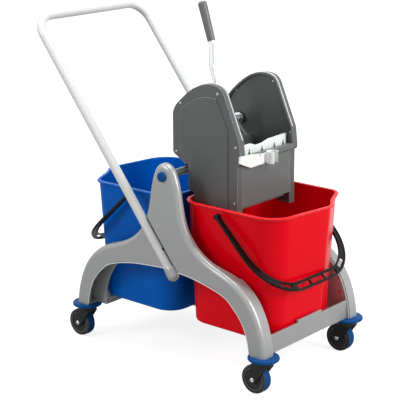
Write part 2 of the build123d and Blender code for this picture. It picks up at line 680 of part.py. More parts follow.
def bucket_ring(height, outward=0.0):
    """Plan of the red bucket's outer wall at a height above its base, moved outward."""
    share = height / BUCKET_HEIGHT
    base, top = bucket_corners()
    corners = []
    for low, high in zip(base, top):
        corners.append(tuple(a + share * (b - a) for a, b in zip(low, high)))
    moved = []
    count = len(corners)
    for index, (x, y, radius) in enumerate(corners):
        corner = Vector(x, y)
        before = (corner - Vector(*corners[index - 1][:2])).normalized()
        after = (Vector(*corners[(index + 1) % count][:2]) - corner).normalized()
        out_before, out_after = Vector(before.Y, -before.X), Vector(after.Y, -after.X)
        shift = (out_before + out_after) * (outward / (1 + out_before.dot(out_after)))
        swelling = outward if before.cross(after).Z > 0 else -outward
        moved.append((x + shift.X, y + shift.Y, radius + swelling))
    return Pos(0, 0, BUCKET_BASE + height) * rounded_loop(moved)


def bucket():
    """Red bucket: tapered, with a lipped rim, a pouring corner and bored ears for its bail."""
    lip = RIM_HEIGHT * 0.3
    levels = [(0.0, -BASE_ROUND), (BASE_ROUND * 0.3, -BASE_ROUND * 0.3), (BASE_ROUND, 0.0)]
    levels += [(BUCKET_HEIGHT - RIM_HEIGHT - lip, 0.0), (BUCKET_HEIGHT - RIM_HEIGHT, RIM_OVERHANG - lip)]
    levels += [(BUCKET_HEIGHT - RIM_HEIGHT + lip, RIM_OVERHANG), (BUCKET_HEIGHT - lip, RIM_OVERHANG)]
    levels += [(BUCKET_HEIGHT, RIM_OVERHANG - lip)]
    shell = loft([bucket_ring(height, outward) for height, outward in levels], ruled=True)
    for side in (1, -1):
        inner = side * (BUCKET_HALF_TOP - 2 * BUCKET_WALL)
        shell += pin_y(EAR_DIA, EAR_X, EAR_Z, inner, side * EAR_Y)
        bottom = side * (EAR_Y - PIN_LENGTH)
        shell -= pin_y(PIN_DIA + 2 * RUN, EAR_X, EAR_Z, bottom, side * (EAR_Y + 1.0))
    bend = BASE_ROUND * 0.7
    hollow = [(BUCKET_WALL, -BUCKET_WALL - bend), (BUCKET_WALL + bend, -BUCKET_WALL)]
    hollow += [(BUCKET_HEIGHT + 2.0, -BUCKET_WALL)]
    inside = loft([bucket_ring(height, outward) for height, outward in hollow], ruled=True)
    return shell - inside


def bail_strap(margin=0.0):
    """Flat shape of the bail from its pins to its grip, moved in from its edges."""
    half_grip = BAIL_GRIP / 2 - margin
    outer_reach, inner_reach = BAIL_REACH + half_grip, BAIL_REACH - half_grip
    narrow = BAIL_OUTER - margin
    wide = narrow + BAIL_SPREAD
    points = [(0.0, narrow), (BAIL_SPREAD_END, wide), (outer_reach, wide)]
    outer = Polygon(*points, *[(x, -y) for x, y in reversed(points)], align=None)
    outer = fillet(outer.vertices().sort_by(Axis.X)[-2:], BAIL_OUTER_CORNER - margin)
    inner = Pos(inner_reach / 2 - 1.0, 0) * Rectangle(inner_reach + 2.0, 2 * (BAIL_INNER + margin))
    return outer - fillet(inner.vertices().sort_by(Axis.X)[-2:], BAIL_INNER_CORNER + margin)


def bail_windows():
    """Windows through the bail: a row along the grip and one in each bend."""
    pitch = WINDOW_LENGTH + WINDOW_RIB
    window = RectangleRounded(WINDOW_WIDTH, WINDOW_LENGTH, WINDOW_WIDTH / 5)
    places = [(index - (WINDOW_COUNT - 1) / 2) * pitch for index in range(WINDOW_COUNT)]
    windows = [Pos(BAIL_REACH, y) * window for y in places]
    bend = BAIL_OUTER_CORNER - BAIL_GRIP / 2
    turn = radians(CORNER_WINDOW_TURN)
    x = BAIL_REACH - bend * (1 - cos(turn))
    y = BEND_START + bend * sin(turn)
    for side in (1, -1):
        window = RectangleRounded(WINDOW_WIDTH * 0.8, CORNER_WINDOW, WINDOW_WIDTH / 5)
        windows.append(Pos(x, side * y) * Rot(0, 0, side * CORNER_WINDOW_TURN) * window)
    return windows


def bail():
    """Red bucket's carrying bail: a channelled strap with windows, tilted against the outer end."""
    strap = bail_strap()
    for window in bail_windows():
        strap -= window
    body = extrude(strap, amount=BAIL_THICK / 2, both=True)
    length = 2 * BAIL_REACH
    channel = bail_strap(BAIL_EDGE) & Pos(BAIL_EYE_DIA + length / 2, 0) * Rectangle(length, 3 * BAIL_OUTER)
    for side in (1, -1):
        floor = Pos(0, 0, side * (BAIL_THICK / 2 - CHANNEL_DEPTH))
        body -= floor * extrude(channel, amount=CHANNEL_DEPTH + 1.0, dir=(0, 0, side))
        body += pin_y(BAIL_EYE_DIA, 0, 0, side * BAIL_INNER, side * BAIL_OUTER)
        body += pin_y(PIN_DIA, 0, 0, side * (BAIL_INNER - PIN_LENGTH), side * BAIL_INNER)
    return Pos(EAR_X, 0, EAR_Z) * Rot(0, BAIL_TILT, 0) * body


# Wringer

def chin_curve():
    """Rounded foot of the chin, from its upright face back to the front wall."""
    start = (CHIN_X, FRONT_PLATE_TOP - CHIN_FACE)
    return TangentArc(start, (WRINGER_FRONT, LIP_BASE), tangent=(0, -1))


def cheek_outline():
    """Side view of a wringer cheek, with a foot in front and a nose over the cross tube."""
    nose = TUBE_Z + TUBE_DIA / 2 + 8.0
    crest = from_tube((-41, 138), (-40, 147), (-36, 158), (-16, 181), (14, 206), (44, 223), (74, 231))
    crest += from_tube((96, 230.5), (111, 226), (121, 218), (128.5, 205))
    chin = chin_curve()
    tail = [crest[-1], (CHIN_X - 5.0, FRONT_PLATE_TOP + 41.0), (CHIN_X, FRONT_PLATE_TOP), chin @ 0]
    foot_top = WRINGER_BASE - 19.0
    foot_back = WRINGER_FRONT - 39.5
    lower = [chin @ 1, (WRINGER_FRONT, foot_top), (foot_back, foot_top), (foot_back, WRINGER_BASE)]
    lower += [(WRINGER_BACK, WRINGER_BASE), (WRINGER_BACK, RIM_TOP + 14.0), (CHEEK_BACK, RIM_TOP + 14.0)]
    lower += [(CHEEK_BACK, nose), (TUBE_X, nose), *from_tube((-35, 37), (-41, 44), (-41, 138))]
    return outline(Spline(*crest), Polyline(*tail), chin, Polyline(*lower))


def panel_outline():
    """Raised field on a cheek's outer face."""
    top = from_tube((-15, 145), (-12, 155), (-3, 165), (24, 182), (56, 195), (84, 199.5), (102, 198))
    rest = from_tube((102, 198), (139, 123), (141, -75), (34, -75), (34, -40))
    rest += from_tube((16, -40), (16, 30), (-15, 46), (-15, 145))
    return outline(Spline(*top), Polyline(*rest))


def cheek_screw_places():
    """Screws along a cheek's border, in X and Z."""
    return from_tube((-14, 173), (108, 211), (-29, 46), (166, 84), (162, -60))


def cheek_shell():
    """Near cheek: outer skin, deep border and a raised field."""
    face = cheek_outline()
    skin = -CHEEK_OUTER + CHEEK_SKIN
    shell = prism(face, -CHEEK_OUTER, -CHEEK_INNER)
    shell -= prism(inset(face, CHEEK_EDGE), skin, -CHEEK_INNER + 1.0)
    shell += prism(panel_outline(), -CHEEK_OUTER - PANEL_RAISE, -CHEEK_OUTER)
    liner_back = -LINER_Y - LINER_THICK
    solid = prism(face, -CHEEK_OUTER, liner_back)
    for x, z in cheek_screw_places():
        shell += solid & pin_y(CHEEK_BOSS_DIA, x, z, -CHEEK_OUTER, liner_back)
        shell -= pin_y(CHEEK_SCREW_DIA, x, z, -CHEEK_OUTER - 1.0, liner_back + 1.0)
    shell += solid & pin_y(BUSH_FLANGE_DIA, SHAFT_X, SHAFT_Z, -CHEEK_OUTER, liner_back)
    return shell - pin_y(BUSH_DIA, SHAFT_X, SHAFT_Z, skin, -CHEEK_INNER)


def cheek_liner():
    """Near cheek's inner wall, set back from the border and loose inside it."""
    face = inset(cheek_outline(), CHEEK_EDGE + FACE_GAP / 2)
    liner = prism(face, -LINER_Y - LINER_THICK, -LINER_Y)
    for x, z in cheek_screw_places():
        liner -= pin_y(CHEEK_SCREW_DIA, x, z, -LINER_Y - LINER_THICK - 1.0, -LINER_Y + 1.0)
    return liner - pin_y(BUSH_DIA, SHAFT_X, SHAFT_Z, -LINER_Y - LINER_THICK - 1.0, -LINER_Y + 1.0)


def cheek_screws():
    """Screws that join both cheeks' skins to their liners."""
    screws = []
    for side in (1, -1):
        for x, z in cheek_screw_places():
            shank = pin_y(CHEEK_SCREW_DIA, x, z, side * LINER_Y, side * CHEEK_OUTER)
            head_top = side * (CHEEK_OUTER + CHEEK_SCREW_HEAD)
            screws.append(shank + pin_y(CHEEK_SCREW_HEAD_DIA, x, z, side * CHEEK_OUTER, head_top))
    return Compound(screws)


def front_plate():
    """Front wall of the wringer between the cheeks, with a lip in line with their chins."""
    back = WRINGER_FRONT - PLATE_THICK
    plate = block(back, WRINGER_FRONT, -CHEEK_INNER, CHEEK_INNER, FRONT_PLATE_BASE, FRONT_PLATE_TOP)
    chin = chin_curve()
    rim = Polyline(chin @ 1, (WRINGER_FRONT, FRONT_PLATE_TOP), (CHIN_X, FRONT_PLATE_TOP), chin @ 0)
    return plate + prism(outline(chin, rim), -CHEEK_INNER, CHEEK_INNER)


def back_plate():
    """Back wall of the wringer between the cheeks."""
    front = WRINGER_BACK + PLATE_THICK
    return block(WRINGER_BACK, front, -CHEEK_INNER, CHEEK_INNER, WRINGER_BASE, BACK_PLATE_TOP)


def hook():
    """Near hook that hangs the wringer on the cross tube; it is open downwards."""
    half = TUBE_DIA / 2 + FACE_GAP
    low = TUBE_Z - HOOK_FRONT_DROP
    inside = -CHEEK_INNER + HOOK_THICK
    back = TUBE_X - half - HOOK_WALL
    body = block(back, WRINGER_BACK, -CHEEK_INNER, inside, low, BACK_PLATE_TOP)
    body -= block(TUBE_X - half, TUBE_X + half, -CHEEK_INNER - 1.0, CHEEK_INNER, low - 1.0, TUBE_Z)
    body -= pin_y(2 * half, TUBE_X, TUBE_Z, -CHEEK_INNER - 1.0, CHEEK_INNER)
    back_low = TUBE_Z - HOOK_BACK_DROP
    return body - block(back - 1.0, TUBE_X - half, -CHEEK_INNER - 1, CHEEK_INNER, low - 1.0, back_low)


def sieve_plate():
    """White plate that the mop is pressed against: wavy top edge, upright triangular holes."""
    half = CHEEK_INNER
    base = FRONT_PLATE_BASE + 4.0
    dip = SIEVE_TOP - 9.0
    wave = [(-half, SIEVE_TOP - 3.0), (-half * 0.5, SIEVE_TOP - 1.0), (-half * 0.25, dip), (0.0, dip + 1.0)]
    wave += [(half * 0.25, SIEVE_TOP - 2.0), (half, SIEVE_TOP)]
    face = outline(Polyline(*wave, (half, base), (-half, base), close=True))
    pitch = SIEVE_HOLE_HEIGHT + SIEVE_ROW_GAP
    hole = Polygon((-SIEVE_HOLE / 2, 0), (SIEVE_HOLE / 2, 0), (0, SIEVE_HOLE_HEIGHT), align=None)
    for row in range(int((SIEVE_TOP - base) / pitch)):
        for column in SIEVE_COLUMNS:
            face -= Pos(column * half, SIEVE_TOP - SIEVE_HOLE_DROP - row * pitch) * hole
    front = SIEVE_BACK + SIEVE_THICK
    plate = slab(face, SIEVE_BACK, front)
    for y in (-half * 0.7, half * 0.7):
        for z in (base + 10.0, FRONT_PLATE_TOP - 12.0):
            plate += rod(PEG_DIA, (front - 1.0, y, z), (front + SIEVE_GAP, y, z))
    return plate


def drain_grate():
    """Slotted floor of the wringer."""
    x0, x1 = WRINGER_BACK + PLATE_THICK, SIEVE_BACK
    top = WRINGER_BASE + GRATE_THICK
    grate = block(x0, x1, -CHEEK_INNER, CHEEK_INNER, WRINGER_BASE, top)
    count = int((CHEEK_INNER - 10.0) / GRATE_PITCH)
    for index in range(-count, count + 1):
        y = index * GRATE_PITCH
        grate -= block(x0 + 10, x1 - 10, y - GRATE_SLOT / 2, y + GRATE_SLOT / 2, WRINGER_BASE - 1, top + 1)
    return grate


def pole_clip():
    """White bar on the front wall's lip with an open ring that holds a mop pole."""
    edge = [(-125, 47), (-123, 64), (-83, 62), (-26, 55), (-26, 30), (-82, 29)]
    bar = Pos(0, TUBE_Z) * Polygon(*edge, align=None)
    face = CHIN_X + CLIP_DEPTH
    clip = slab(bar, WRINGER_FRONT, face)
    clip -= block(face - 3.0, face + 1.0, -54, -42, TUBE_Z + 51.0, TUBE_Z + 56.0)
    radius = CLIP_RING_BORE / 2 + CLIP_RING_WALL
    x = CHIN_X + radius
    clip += pin_z(2 * radius, x, CLIP_RING_Y, CLIP_RING_BASE, CLIP_RING_TOP)
    clip += block(WRINGER_FRONT, x, -26, CLIP_RING_Y + radius, CLIP_RING_BASE + 4, CLIP_RING_TOP - 4)
    behind = -CHEEK_INNER + FACE_GAP
    clip -= block(WRINGER_FRONT - 1.0, CHIN_X + FACE_GAP, -2 * CHEEK_OUTER, behind, WRINGER_BASE, SIEVE_TOP)
    clip -= block(WRINGER_FRONT - 1.0, CHIN_X, -CHEEK_INNER, CHEEK_INNER, LIP_BASE, SIEVE_TOP)
    clip -= pin_z(CLIP_RING_BORE, x, CLIP_RING_Y, CLIP_RING_BASE - 1, CLIP_RING_TOP + 1)
    mouth = CLIP_MOUTH / 2
    gap = (CLIP_RING_Y - mouth, CLIP_RING_Y + mouth)
    return clip - block(x, x + 2 * radius, *gap, CLIP_RING_BASE - 1, CLIP_RING_TOP + 1)


# Press and lever

def press_bush():
    """Near bush that the press shaft turns in."""
    skin = -CHEEK_OUTER + CHEEK_SKIN
    bush = pin_y(BUSH_DIA, SHAFT_X, SHAFT_Z, skin, -LINER_Y)
    face = -LINER_Y + BUSH_FLANGE
    bush += pin_y(BUSH_FLANGE_DIA, SHAFT_X, SHAFT_Z, -LINER_Y, face)
    bush += spring_stop(face, face + STOP_DEPTH, above=False)
    return bush - pin_y(SHAFT_DIA + 2 * RUN, SHAFT_X, SHAFT_Z, skin - 1.0, face + 1.0)


def press_shaft():
    """Shaft across both cheeks that carries the lever and the press plate."""
    end = CHEEK_OUTER - CHEEK_SKIN - FACE_GAP
    return pin_y(SHAFT_DIA, SHAFT_X, SHAFT_Z, -end, end)


def lever_points():
    """Bends of the lever from its hub to the foot of the grip, in X and Z."""
    bends = [(0.0, 0.0), (5.0, 97.0), (-11.0, 153.0), (-13.0, 215.0)]
    return [(SHAFT_X + x, SHAFT_Z + z) for x, z in bends]


def grip_axis():
    """Foot and top of the grip, in X and Z."""
    foot = lever_points()[-1]
    lean = radians(18.0)
    return foot, (foot[0] - GRIP_LENGTH * sin(lean), foot[1] + GRIP_LENGTH * cos(lean))


def lever_bar(diameter):
    """Solid bar along the lever's bent line, from its hub to inside the grip."""
    foot, top = grip_axis()
    share = 0.9
    inside = (foot[0] + share * (top[0] - foot[0]), foot[1] + share * (top[1] - foot[1]))
    points = [(x, 0.0, z) for x, z in lever_points() + [inside]]
    start = SHAFT_DIA / 2 + 2.0
    first = Vector(*points[1]) - Vector(*points[0])
    points[0] = tuple(Vector(*points[0]) + first.normalized() * start)
    path = FilletPolyline(*points, radius=LEVER_BEND)
    return sweep(Plane(path ^ 0) * Circle(diameter / 2), path=path)


def lever_tube():
    """Bent lever tube."""
    return lever_bar(LEVER_DIA) - lever_bar(LEVER_DIA - 2 * LEVER_WALL)


def lever_hub():
    """Hub that clamps the lever to the shaft."""
    half = LEVER_HUB_WIDTH / 2
    hub = pin_y(LEVER_HUB_DIA, SHAFT_X, SHAFT_Z, -half, half)
    (x0, z0), (x1, z1) = lever_points()[:2]
    reach = 34.0 / hypot(x1 - x0, z1 - z0)
    tip = (x0 + reach * (x1 - x0), 0.0, z0 + reach * (z1 - z0))
    hub += rod(LEVER_DIA + 7.0, (x0, 0.0, z0), tip)
    hub -= pin_y(SHAFT_DIA, SHAFT_X, SHAFT_Z, -half - 1.0, half + 1.0)
    return hub - lever_bar(LEVER_DIA)


def lever_grip():
    """Tapered grip on the lever's upper end."""
    (x0, z0), (x1, z1) = grip_axis()
    axis = Vector(x1 - x0, 0, z1 - z0)
    base = Plane(origin=(x0, 0, z0), z_dir=axis)
    upward = (Align.CENTER, Align.CENTER, Align.MIN)
    grip = base * Cone(GRIP_END_DIA / 2, GRIP_DIA / 2, GRIP_LENGTH, align=upward)
    grip = fillet(grip.edges().filter_by(GeomType.CIRCLE).sort_by(Axis.Z)[-1], GRIP_DIA * 0.3)
    return grip - lever_bar(LEVER_DIA)


def press_plate():
    """Press plate hung from the shaft on two arms, each with a lug for a return spring."""
    half = CHEEK_INNER - PRESS_SIDE_GAP
    back = WRINGER_BACK + PLATE_THICK + 6.0
    front = back + PRESS_RIB + PRESS_THICK
    base = WRINGER_BASE + GRATE_THICK + 14.0
    top = BACK_PLATE_TOP + 20.0
    plate = block(front - PRESS_THICK, front, -half, half, base, top)
    spoke = PRESS_HUB_DIA / 2
    shape = [(back, base + 10.0), (front - 1.0, base + 10.0), (front - 1.0, top)]
    shape += [(SHAFT_X + spoke * 0.7, SHAFT_Z + spoke * 0.6), (SHAFT_X, SHAFT_Z - spoke), (back, top - 5.0)]
    for side in (1, -1):
        y0, y1 = side * PRESS_ARM_Y, side * (PRESS_ARM_Y + PRESS_ARM_WIDTH)
        plate += prism(Polygon(*shape, align=None), y0, y1)
        plate += pin_y(PRESS_HUB_DIA, SHAFT_X, SHAFT_Z, y0, y1)
        plate += spring_stop(y1, y1 + side * STOP_DEPTH, above=True)
    return plate - pin_y(SHAFT_DIA, SHAFT_X, SHAFT_Z, -half, half)


def spring_stop(y0, y1, above):
    """Lug that one end of a return spring bears on, above or below the shaft."""
    low, high = min(y0, y1), max(y0, y1)
    inner, outer = (SPRING_DIA - SPRING_WIRE) / 2, (SPRING_DIA + SPRING_WIRE) / 2
    z0, z1 = (SHAFT_Z + inner, SHAFT_Z + outer) if above else (SHAFT_Z - outer, SHAFT_Z - inner)
    face = SHAFT_X - FACE_GAP / 2
    return block(face - STOP_WIDTH, face, low, high, z0, z1)


def press_spring():
    """Far return spring: a coil whose ends bear on the press arm's lug and the bush's lug."""
    start = PRESS_ARM_Y + PRESS_ARM_WIDTH + STOP_DEPTH / 2
    end = LINER_Y - BUSH_FLANGE - STOP_DEPTH / 2
    quarters = 4 * SPRING_TURNS + 2
    radius = SPRING_DIA / 2
    points = []
    for step in range(quarters + 1):
        turn = radians(90 * step)
        along = start + (end - start) * step / quarters
        points.append(Vector(SHAFT_X + radius * sin(turn), along, SHAFT_Z + radius * cos(turn)))
    rise = 4 * (end - start) / (quarters * 2 * pi * radius)
    direction = Vector(1, rise, 0)
    arcs = []
    for low, high in zip(points, points[1:]):
        arcs.append(TangentArc(low, high, tangent=direction))
        direction = arcs[-1] % 1
    path = Wire(arcs)
    samples = [path @ (step / (40 * quarters)) for step in range(40 * quarters + 1)]
    nearest = min((a - b).length for index, a in enumerate(samples) for b in samples[index + 80:])
    print(f"press_spring least gap to itself {nearest - SPRING_WIRE:.2f} mm")
    return sweep(Plane(path ^ 0) * Circle(SPRING_WIRE / 2), path=path)


def nodes():
    """Every node of the trolley by name."""
    parts = {
        "side_frame_near": side_frame(),
        "end_beam_front": end_beam(),
        "support_rail_near": support_rail(),
        "tower_tube": tower_tube(),
        "tower_cap_near": tower_cap(),
        "tower_bolts": Compound([tower_bolt(), far_side(tower_bolt())]),
        "push_handle": push_handle(),
        "handle_plug_near": handle_plug(),
        "beam_screws": beam_screws(),
        "rail_screws": rail_screws(),
        "bucket_red": bucket(),
        "bail_red": bail(),
        "cheek_shell_near": cheek_shell(),
        "cheek_liner_near": cheek_liner(),
        "cheek_screws": cheek_screws(),
        "wringer_front_plate": front_plate(),
        "wringer_back_plate": back_plate(),
        "wringer_hook_near": hook(),
        "sieve_plate": sieve_plate(),
        "drain_grate": drain_grate(),
        "pole_clip": pole_clip(),
        "press_bush_near": press_bush(),
        "press_shaft": press_shaft(),
        "press_plate": press_plate(),
        "press_spring": press_spring(),
        "lever_hub": lever_hub(),
        "lever_tube": lever_tube(),
        "lever_grip": lever_grip(),
    }
    for name in [name for name in parts if name.endswith("_near")]:
        parts[name.replace("_near", "_far")] = far_side(parts[name])
    parts["end_beam_rear"] = turned(parts["end_beam_front"])
    parts["bucket_blue"] = turned(parts["bucket_red"])
    parts["bail_blue"] = turned(parts["bail_red"])
    corners = {"front_near": (1, -1), "front_far": (1, 1), "rear_near": (-1, -1), "rear_far": (-1, 1)}
    pieces = {
        "caster_bumper": caster_bumper(),
        "caster_fork": caster_fork(),
        "caster_axle": caster_axle(),
        "wheel_hub": wheel_hub(),
        "wheel_tyre": wheel_tyre(),
    }
    for corner, (end, side) in corners.items():
        place = Pos(end * SWIVEL_X, side * SWIVEL_Y, 0)
        for name, piece in pieces.items():
            parts[f"{name}_{corner}"] = place * piece
    stem = caster_stem()
    places = [Pos(end * SWIVEL_X, side * SWIVEL_Y, 0) for end, side in corners.values()]
    parts["caster_stems"] = Compound([place * stem for place in places])
    return parts


os.makedirs("parts", exist_ok=True)
for node, part in nodes().items():
    export_step(part, f"parts/{node}.step")
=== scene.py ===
"""Cleaning trolley: the looks of a two-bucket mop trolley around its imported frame.

Metres, unless a name ends in _mm, _px or _deg. +X points to the red bucket, -Y is the near side, +Z is up.
"""

import logging
import math
from collections.abc import Iterable
from dataclasses import dataclass, field
from enum import Enum

import bmesh
import bpy
from mathutils import Matrix, Vector


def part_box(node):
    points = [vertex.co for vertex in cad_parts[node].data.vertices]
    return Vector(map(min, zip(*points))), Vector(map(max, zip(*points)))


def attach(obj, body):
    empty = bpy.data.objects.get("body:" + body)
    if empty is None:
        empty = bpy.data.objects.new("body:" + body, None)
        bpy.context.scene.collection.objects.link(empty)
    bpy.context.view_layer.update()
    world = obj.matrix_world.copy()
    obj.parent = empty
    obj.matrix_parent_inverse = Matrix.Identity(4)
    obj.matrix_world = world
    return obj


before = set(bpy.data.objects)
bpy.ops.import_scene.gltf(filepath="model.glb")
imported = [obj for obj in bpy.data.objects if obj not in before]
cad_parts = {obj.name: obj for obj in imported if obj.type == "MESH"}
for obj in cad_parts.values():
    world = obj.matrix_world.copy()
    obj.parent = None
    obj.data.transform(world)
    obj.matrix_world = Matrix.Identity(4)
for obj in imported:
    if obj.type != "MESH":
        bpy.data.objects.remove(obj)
log = logging.getLogger("cleaning_trolley")

Tree = bpy.types.NodeTree
Socket = bpy.types.NodeSocket
Shape = bmesh.types.BMesh
Point2 = tuple[float, float]
Point3 = tuple[float, float, float]

MM = 0.001
MERGE_WITHIN = 1e-6
SHARP_DEG = 50.0  # a piece's edges sharper than this stay sharp
BAR_SIDES = 10
ALONG_Y = (0.0, 1.0, 0.0)

BEVEL_SAMPLES = 6
BUMP_STRENGTH = 0.7
GLOSS_SPAN = (0.3, 0.7)  # relief heights over which the gloss changes
GLOSS_SHARES = (0.9, 1.12)  # shares of the roughness at both ends of that span
EDGE_HIGHLIGHT_SPAN = (0.97, 0.82)  # cosines of true and rounded normal where the painted edge highlight starts and is complete
EDGE_HIGHLIGHT_PALE = 0.7  # how far the painted edge highlight goes towards white
DUST_SPAN = (0.5, 0.78)  # noise values where dust starts and is complete
DUST_COLOUR = "#A7A49E"


class Corner(Enum):
    """The four casters, by end and side."""

    FRONT_NEAR = "front_near"
    FRONT_FAR = "front_far"
    REAR_NEAR = "rear_near"
    REAR_FAR = "rear_far"


class Side(Enum):
    """The two sides of the trolley, with their sign along Y."""

    NEAR = -1
    FAR = 1

    @property
    def word(self) -> str:
        """The side as the nodes' names write it."""
        return self.name.lower()


def linear(code: str) -> tuple[float, float, float, float]:
    """Turns an sRGB hex colour into a linear one.

    Args:
        code: Colour such as "#9A9C9A".

    Returns:
        Red, green, blue and an alpha of 1.
    """
    parts = [int(code[index:index + 2], 16) / 255 for index in (1, 3, 5)]
    red, green, blue = [
        part / 12.92 if part <= 0.04045 else ((part + 0.055) / 1.055) ** 2.4 for part in parts
    ]
    return red, green, blue, 1.0


def add_node(tree: Tree, kind: str, inputs: dict | None = None, **settings) -> bpy.types.Node:
    """Adds a node with its settings and links.

    Args:
        tree: Node tree that gets the node.
        kind: Node type, such as "ShaderNodeBump".
        inputs: Input names or numbers, each with a value or the socket that feeds it.
        **settings: Attributes of the node.

    Returns:
        The new node.
    """
    node = tree.nodes.new(kind)
    for name, value in settings.items():
        setattr(node, name, value)
    for name, value in (inputs or {}).items():
        if isinstance(value, bpy.types.NodeSocket):
            tree.links.new(value, node.inputs[name])
        else:
            node.inputs[name].default_value = value
    return node


def per_mm(size: float) -> float:
    """Pattern scale on Object coordinates for features of a size in millimetres."""
    return 1.0 / (size * MM)


def noise(tree: Tree, place: Socket, size_mm: float, detail: float, roughness: float = 0.5) -> Socket:
    """Noise with features of a size in millimetres.

    Args:
        tree: Node tree of the material.
        place: Object coordinates.
        size_mm: Size of the broadest features.
        detail: Octaves of finer ones.
        roughness: Weight of the finer ones.

    Returns:
        Socket with values from 0 to 1.
    """
    return add_node(tree, "ShaderNodeTexNoise", {
        "Vector": place, "Scale": per_mm(size_mm), "Detail": detail, "Roughness": roughness}).outputs["Fac"]


def ramp(tree: Tree, value: Socket, source: Point2, target: Point2) -> Socket:
    """Maps one span of values onto another.

    Args:
        tree: Node tree that needs it.
        value: Socket to map.
        source: Values that give the ends of the target.
        target: Both ends of the result.

    Returns:
        Socket with the result.
    """
    return add_node(tree, "ShaderNodeMapRange", {
        "Value": value, "From Min": source[0], "From Max": source[1],
        "To Min": target[0], "To Max": target[1]}).outputs["Result"]


def mix(tree: Tree, share: Socket, first: Socket | tuple, second: Socket | tuple) -> Socket:
    """Mixes two colours.

    Args:
        tree: Node tree of the material.
        share: How much of the second colour there is.
        first: First colour.
        second: Second colour.

    Returns:
        Colour socket.
    """
    return add_node(
        tree, "ShaderNodeMix", {"Factor": share, "A": first, "B": second}, data_type="RGBA").outputs["Result"]


def maths(tree: Tree, operation: str, *values: Socket | float) -> Socket:
    """Works out one operation on up to three values.

    Args:
        tree: Node tree that needs it.
        operation: Name that the math node gives it.
        *values: Its operands in order.

    Returns:
        Socket with the result.
    """
    return add_node(tree, "ShaderNodeMath", dict(enumerate(values)), operation=operation).outputs["Value"]


def rounded(tree: Tree, radius_mm: float) -> Socket:
    """Normal of a surface whose edges are rounded."""
    return add_node(
        tree, "ShaderNodeBevel", {"Radius": radius_mm * MM}, samples=BEVEL_SAMPLES).outputs["Normal"]


@dataclass(frozen=True)
class Finish:
    """A surface with a drifting colour, a drifting gloss, a fine relief, softened edges and an optional
    painted highlight along them.
    """

    name: str
    colour: str
    roughness: float
    ior: float = 1.49
    specular: float = 0.5
    drift: float = 0.04
    drift_mm: float = 70.0
    relief_mm: float = 1.2
    relief_depth_mm: float = 0.02
    edge_mm: float = 0.7
    dust: float = 0.0
    dust_mm: float = 9.0
    edge_highlight: float = 0.0
    edge_highlight_mm: float = 1.4
    metallic: float = 0.0

    def colour_at(self, tree: Tree, place: Socket) -> Socket:
        """Base colour, a shade lighter and darker over broad patches, with its painted edge highlight and
        dust.

        Args:
            tree: Node tree of the material.
            place: Object coordinates.

        Returns:
            Colour socket.
        """
        base = linear(self.colour)[:3]
        dark, light = [
            tuple(min(1.0, part * (1.0 + turn * self.drift)) for part in base) + (1.0,) for turn in (-1, 1)
        ]
        paint = mix(tree, noise(tree, place, self.drift_mm, detail=4.0, roughness=0.55), dark, light)
        if self.edge_highlight > 0.0:
            paint = self.painted_edge_highlight(tree, paint)
        if self.dust > 0.0:
            paint = self.dusted(tree, place, paint)
        return paint

    def painted_edge_highlight(self, tree: Tree, paint: Socket) -> Socket:
        """Paints a pale highlight along the edges, where the rounded normal turns away from the true one.

        Args:
            tree: Node tree of the material.
            paint: Colour away from the edges.

        Returns:
            Colour socket with a painted highlight on the edges.
        """
        # painted highlight: edges are mixed towards white by how far the rounded normal turns
        match = add_node(tree, "ShaderNodeVectorMath", {
            0: add_node(tree, "ShaderNodeNewGeometry").outputs["Normal"],
            1: rounded(tree, self.edge_highlight_mm)}, operation="DOT_PRODUCT")
        cover = ramp(tree, match.outputs["Value"], EDGE_HIGHLIGHT_SPAN, (0.0, self.edge_highlight))
        pale = tuple(part + (1.0 - part) * EDGE_HIGHLIGHT_PALE for part in linear(self.colour)[:3]) + (1.0,)
        return mix(tree, cover, paint, pale)

    def dusted(self, tree: Tree, place: Socket, paint: Socket) -> Socket:
        """Adds the grey rub marks that pieces near the floor pick up.

        Args:
            tree: Node tree of the material.
            place: Object coordinates.
            paint: Clean colour.

        Returns:
            Colour socket with the marks.
        """
        rubs = noise(tree, place, self.dust_mm, detail=7.0, roughness=0.72)
        return mix(tree, ramp(tree, rubs, DUST_SPAN, (0.0, self.dust)), paint, linear(DUST_COLOUR))

    def relief_at(self, tree: Tree, place: Socket) -> Socket:
        """Height of the fine relief.

        Args:
            tree: Node tree of the material.
            place: Object coordinates.

        Returns:
            Height socket.
        """
        return noise(tree, place, self.relief_mm, detail=2.0)

    def tune(self, shader: bpy.types.Node) -> None:
        """Sets the shader's constant values."""
        shader.inputs["IOR"].default_value = self.ior
        shader.inputs["Metallic"].default_value = self.metallic
        shader.inputs["Specular IOR Level"].default_value = self.specular

    def material(self) -> bpy.types.Material:
        """Makes the finish's material.

        Returns:
            Material with one Principled shader.
        """
        material = bpy.data.materials.new(self.name)
        material.use_nodes = True
        tree = material.node_tree
        shader = tree.nodes["Principled BSDF"]
        place = add_node(tree, "ShaderNodeTexCoord").outputs["Object"]
        relief = self.relief_at(tree, place)
        low, high = GLOSS_SHARES
        gloss = ramp(tree, relief, GLOSS_SPAN, (self.roughness * low, self.roughness * high))
        bump = add_node(tree, "ShaderNodeBump", {
            "Height": relief, "Distance": self.relief_depth_mm * MM, "Strength": BUMP_STRENGTH})
        if self.edge_mm > 0.0:
            tree.links.new(rounded(tree, self.edge_mm), bump.inputs["Normal"])
        tree.links.new(self.colour_at(tree, place), shader.inputs["Base Color"])
        tree.links.new(gloss, shader.inputs["Roughness"])
        tree.links.new(bump.outputs["Normal"], shader.inputs["Normal"])
        self.tune(shader)
        return material


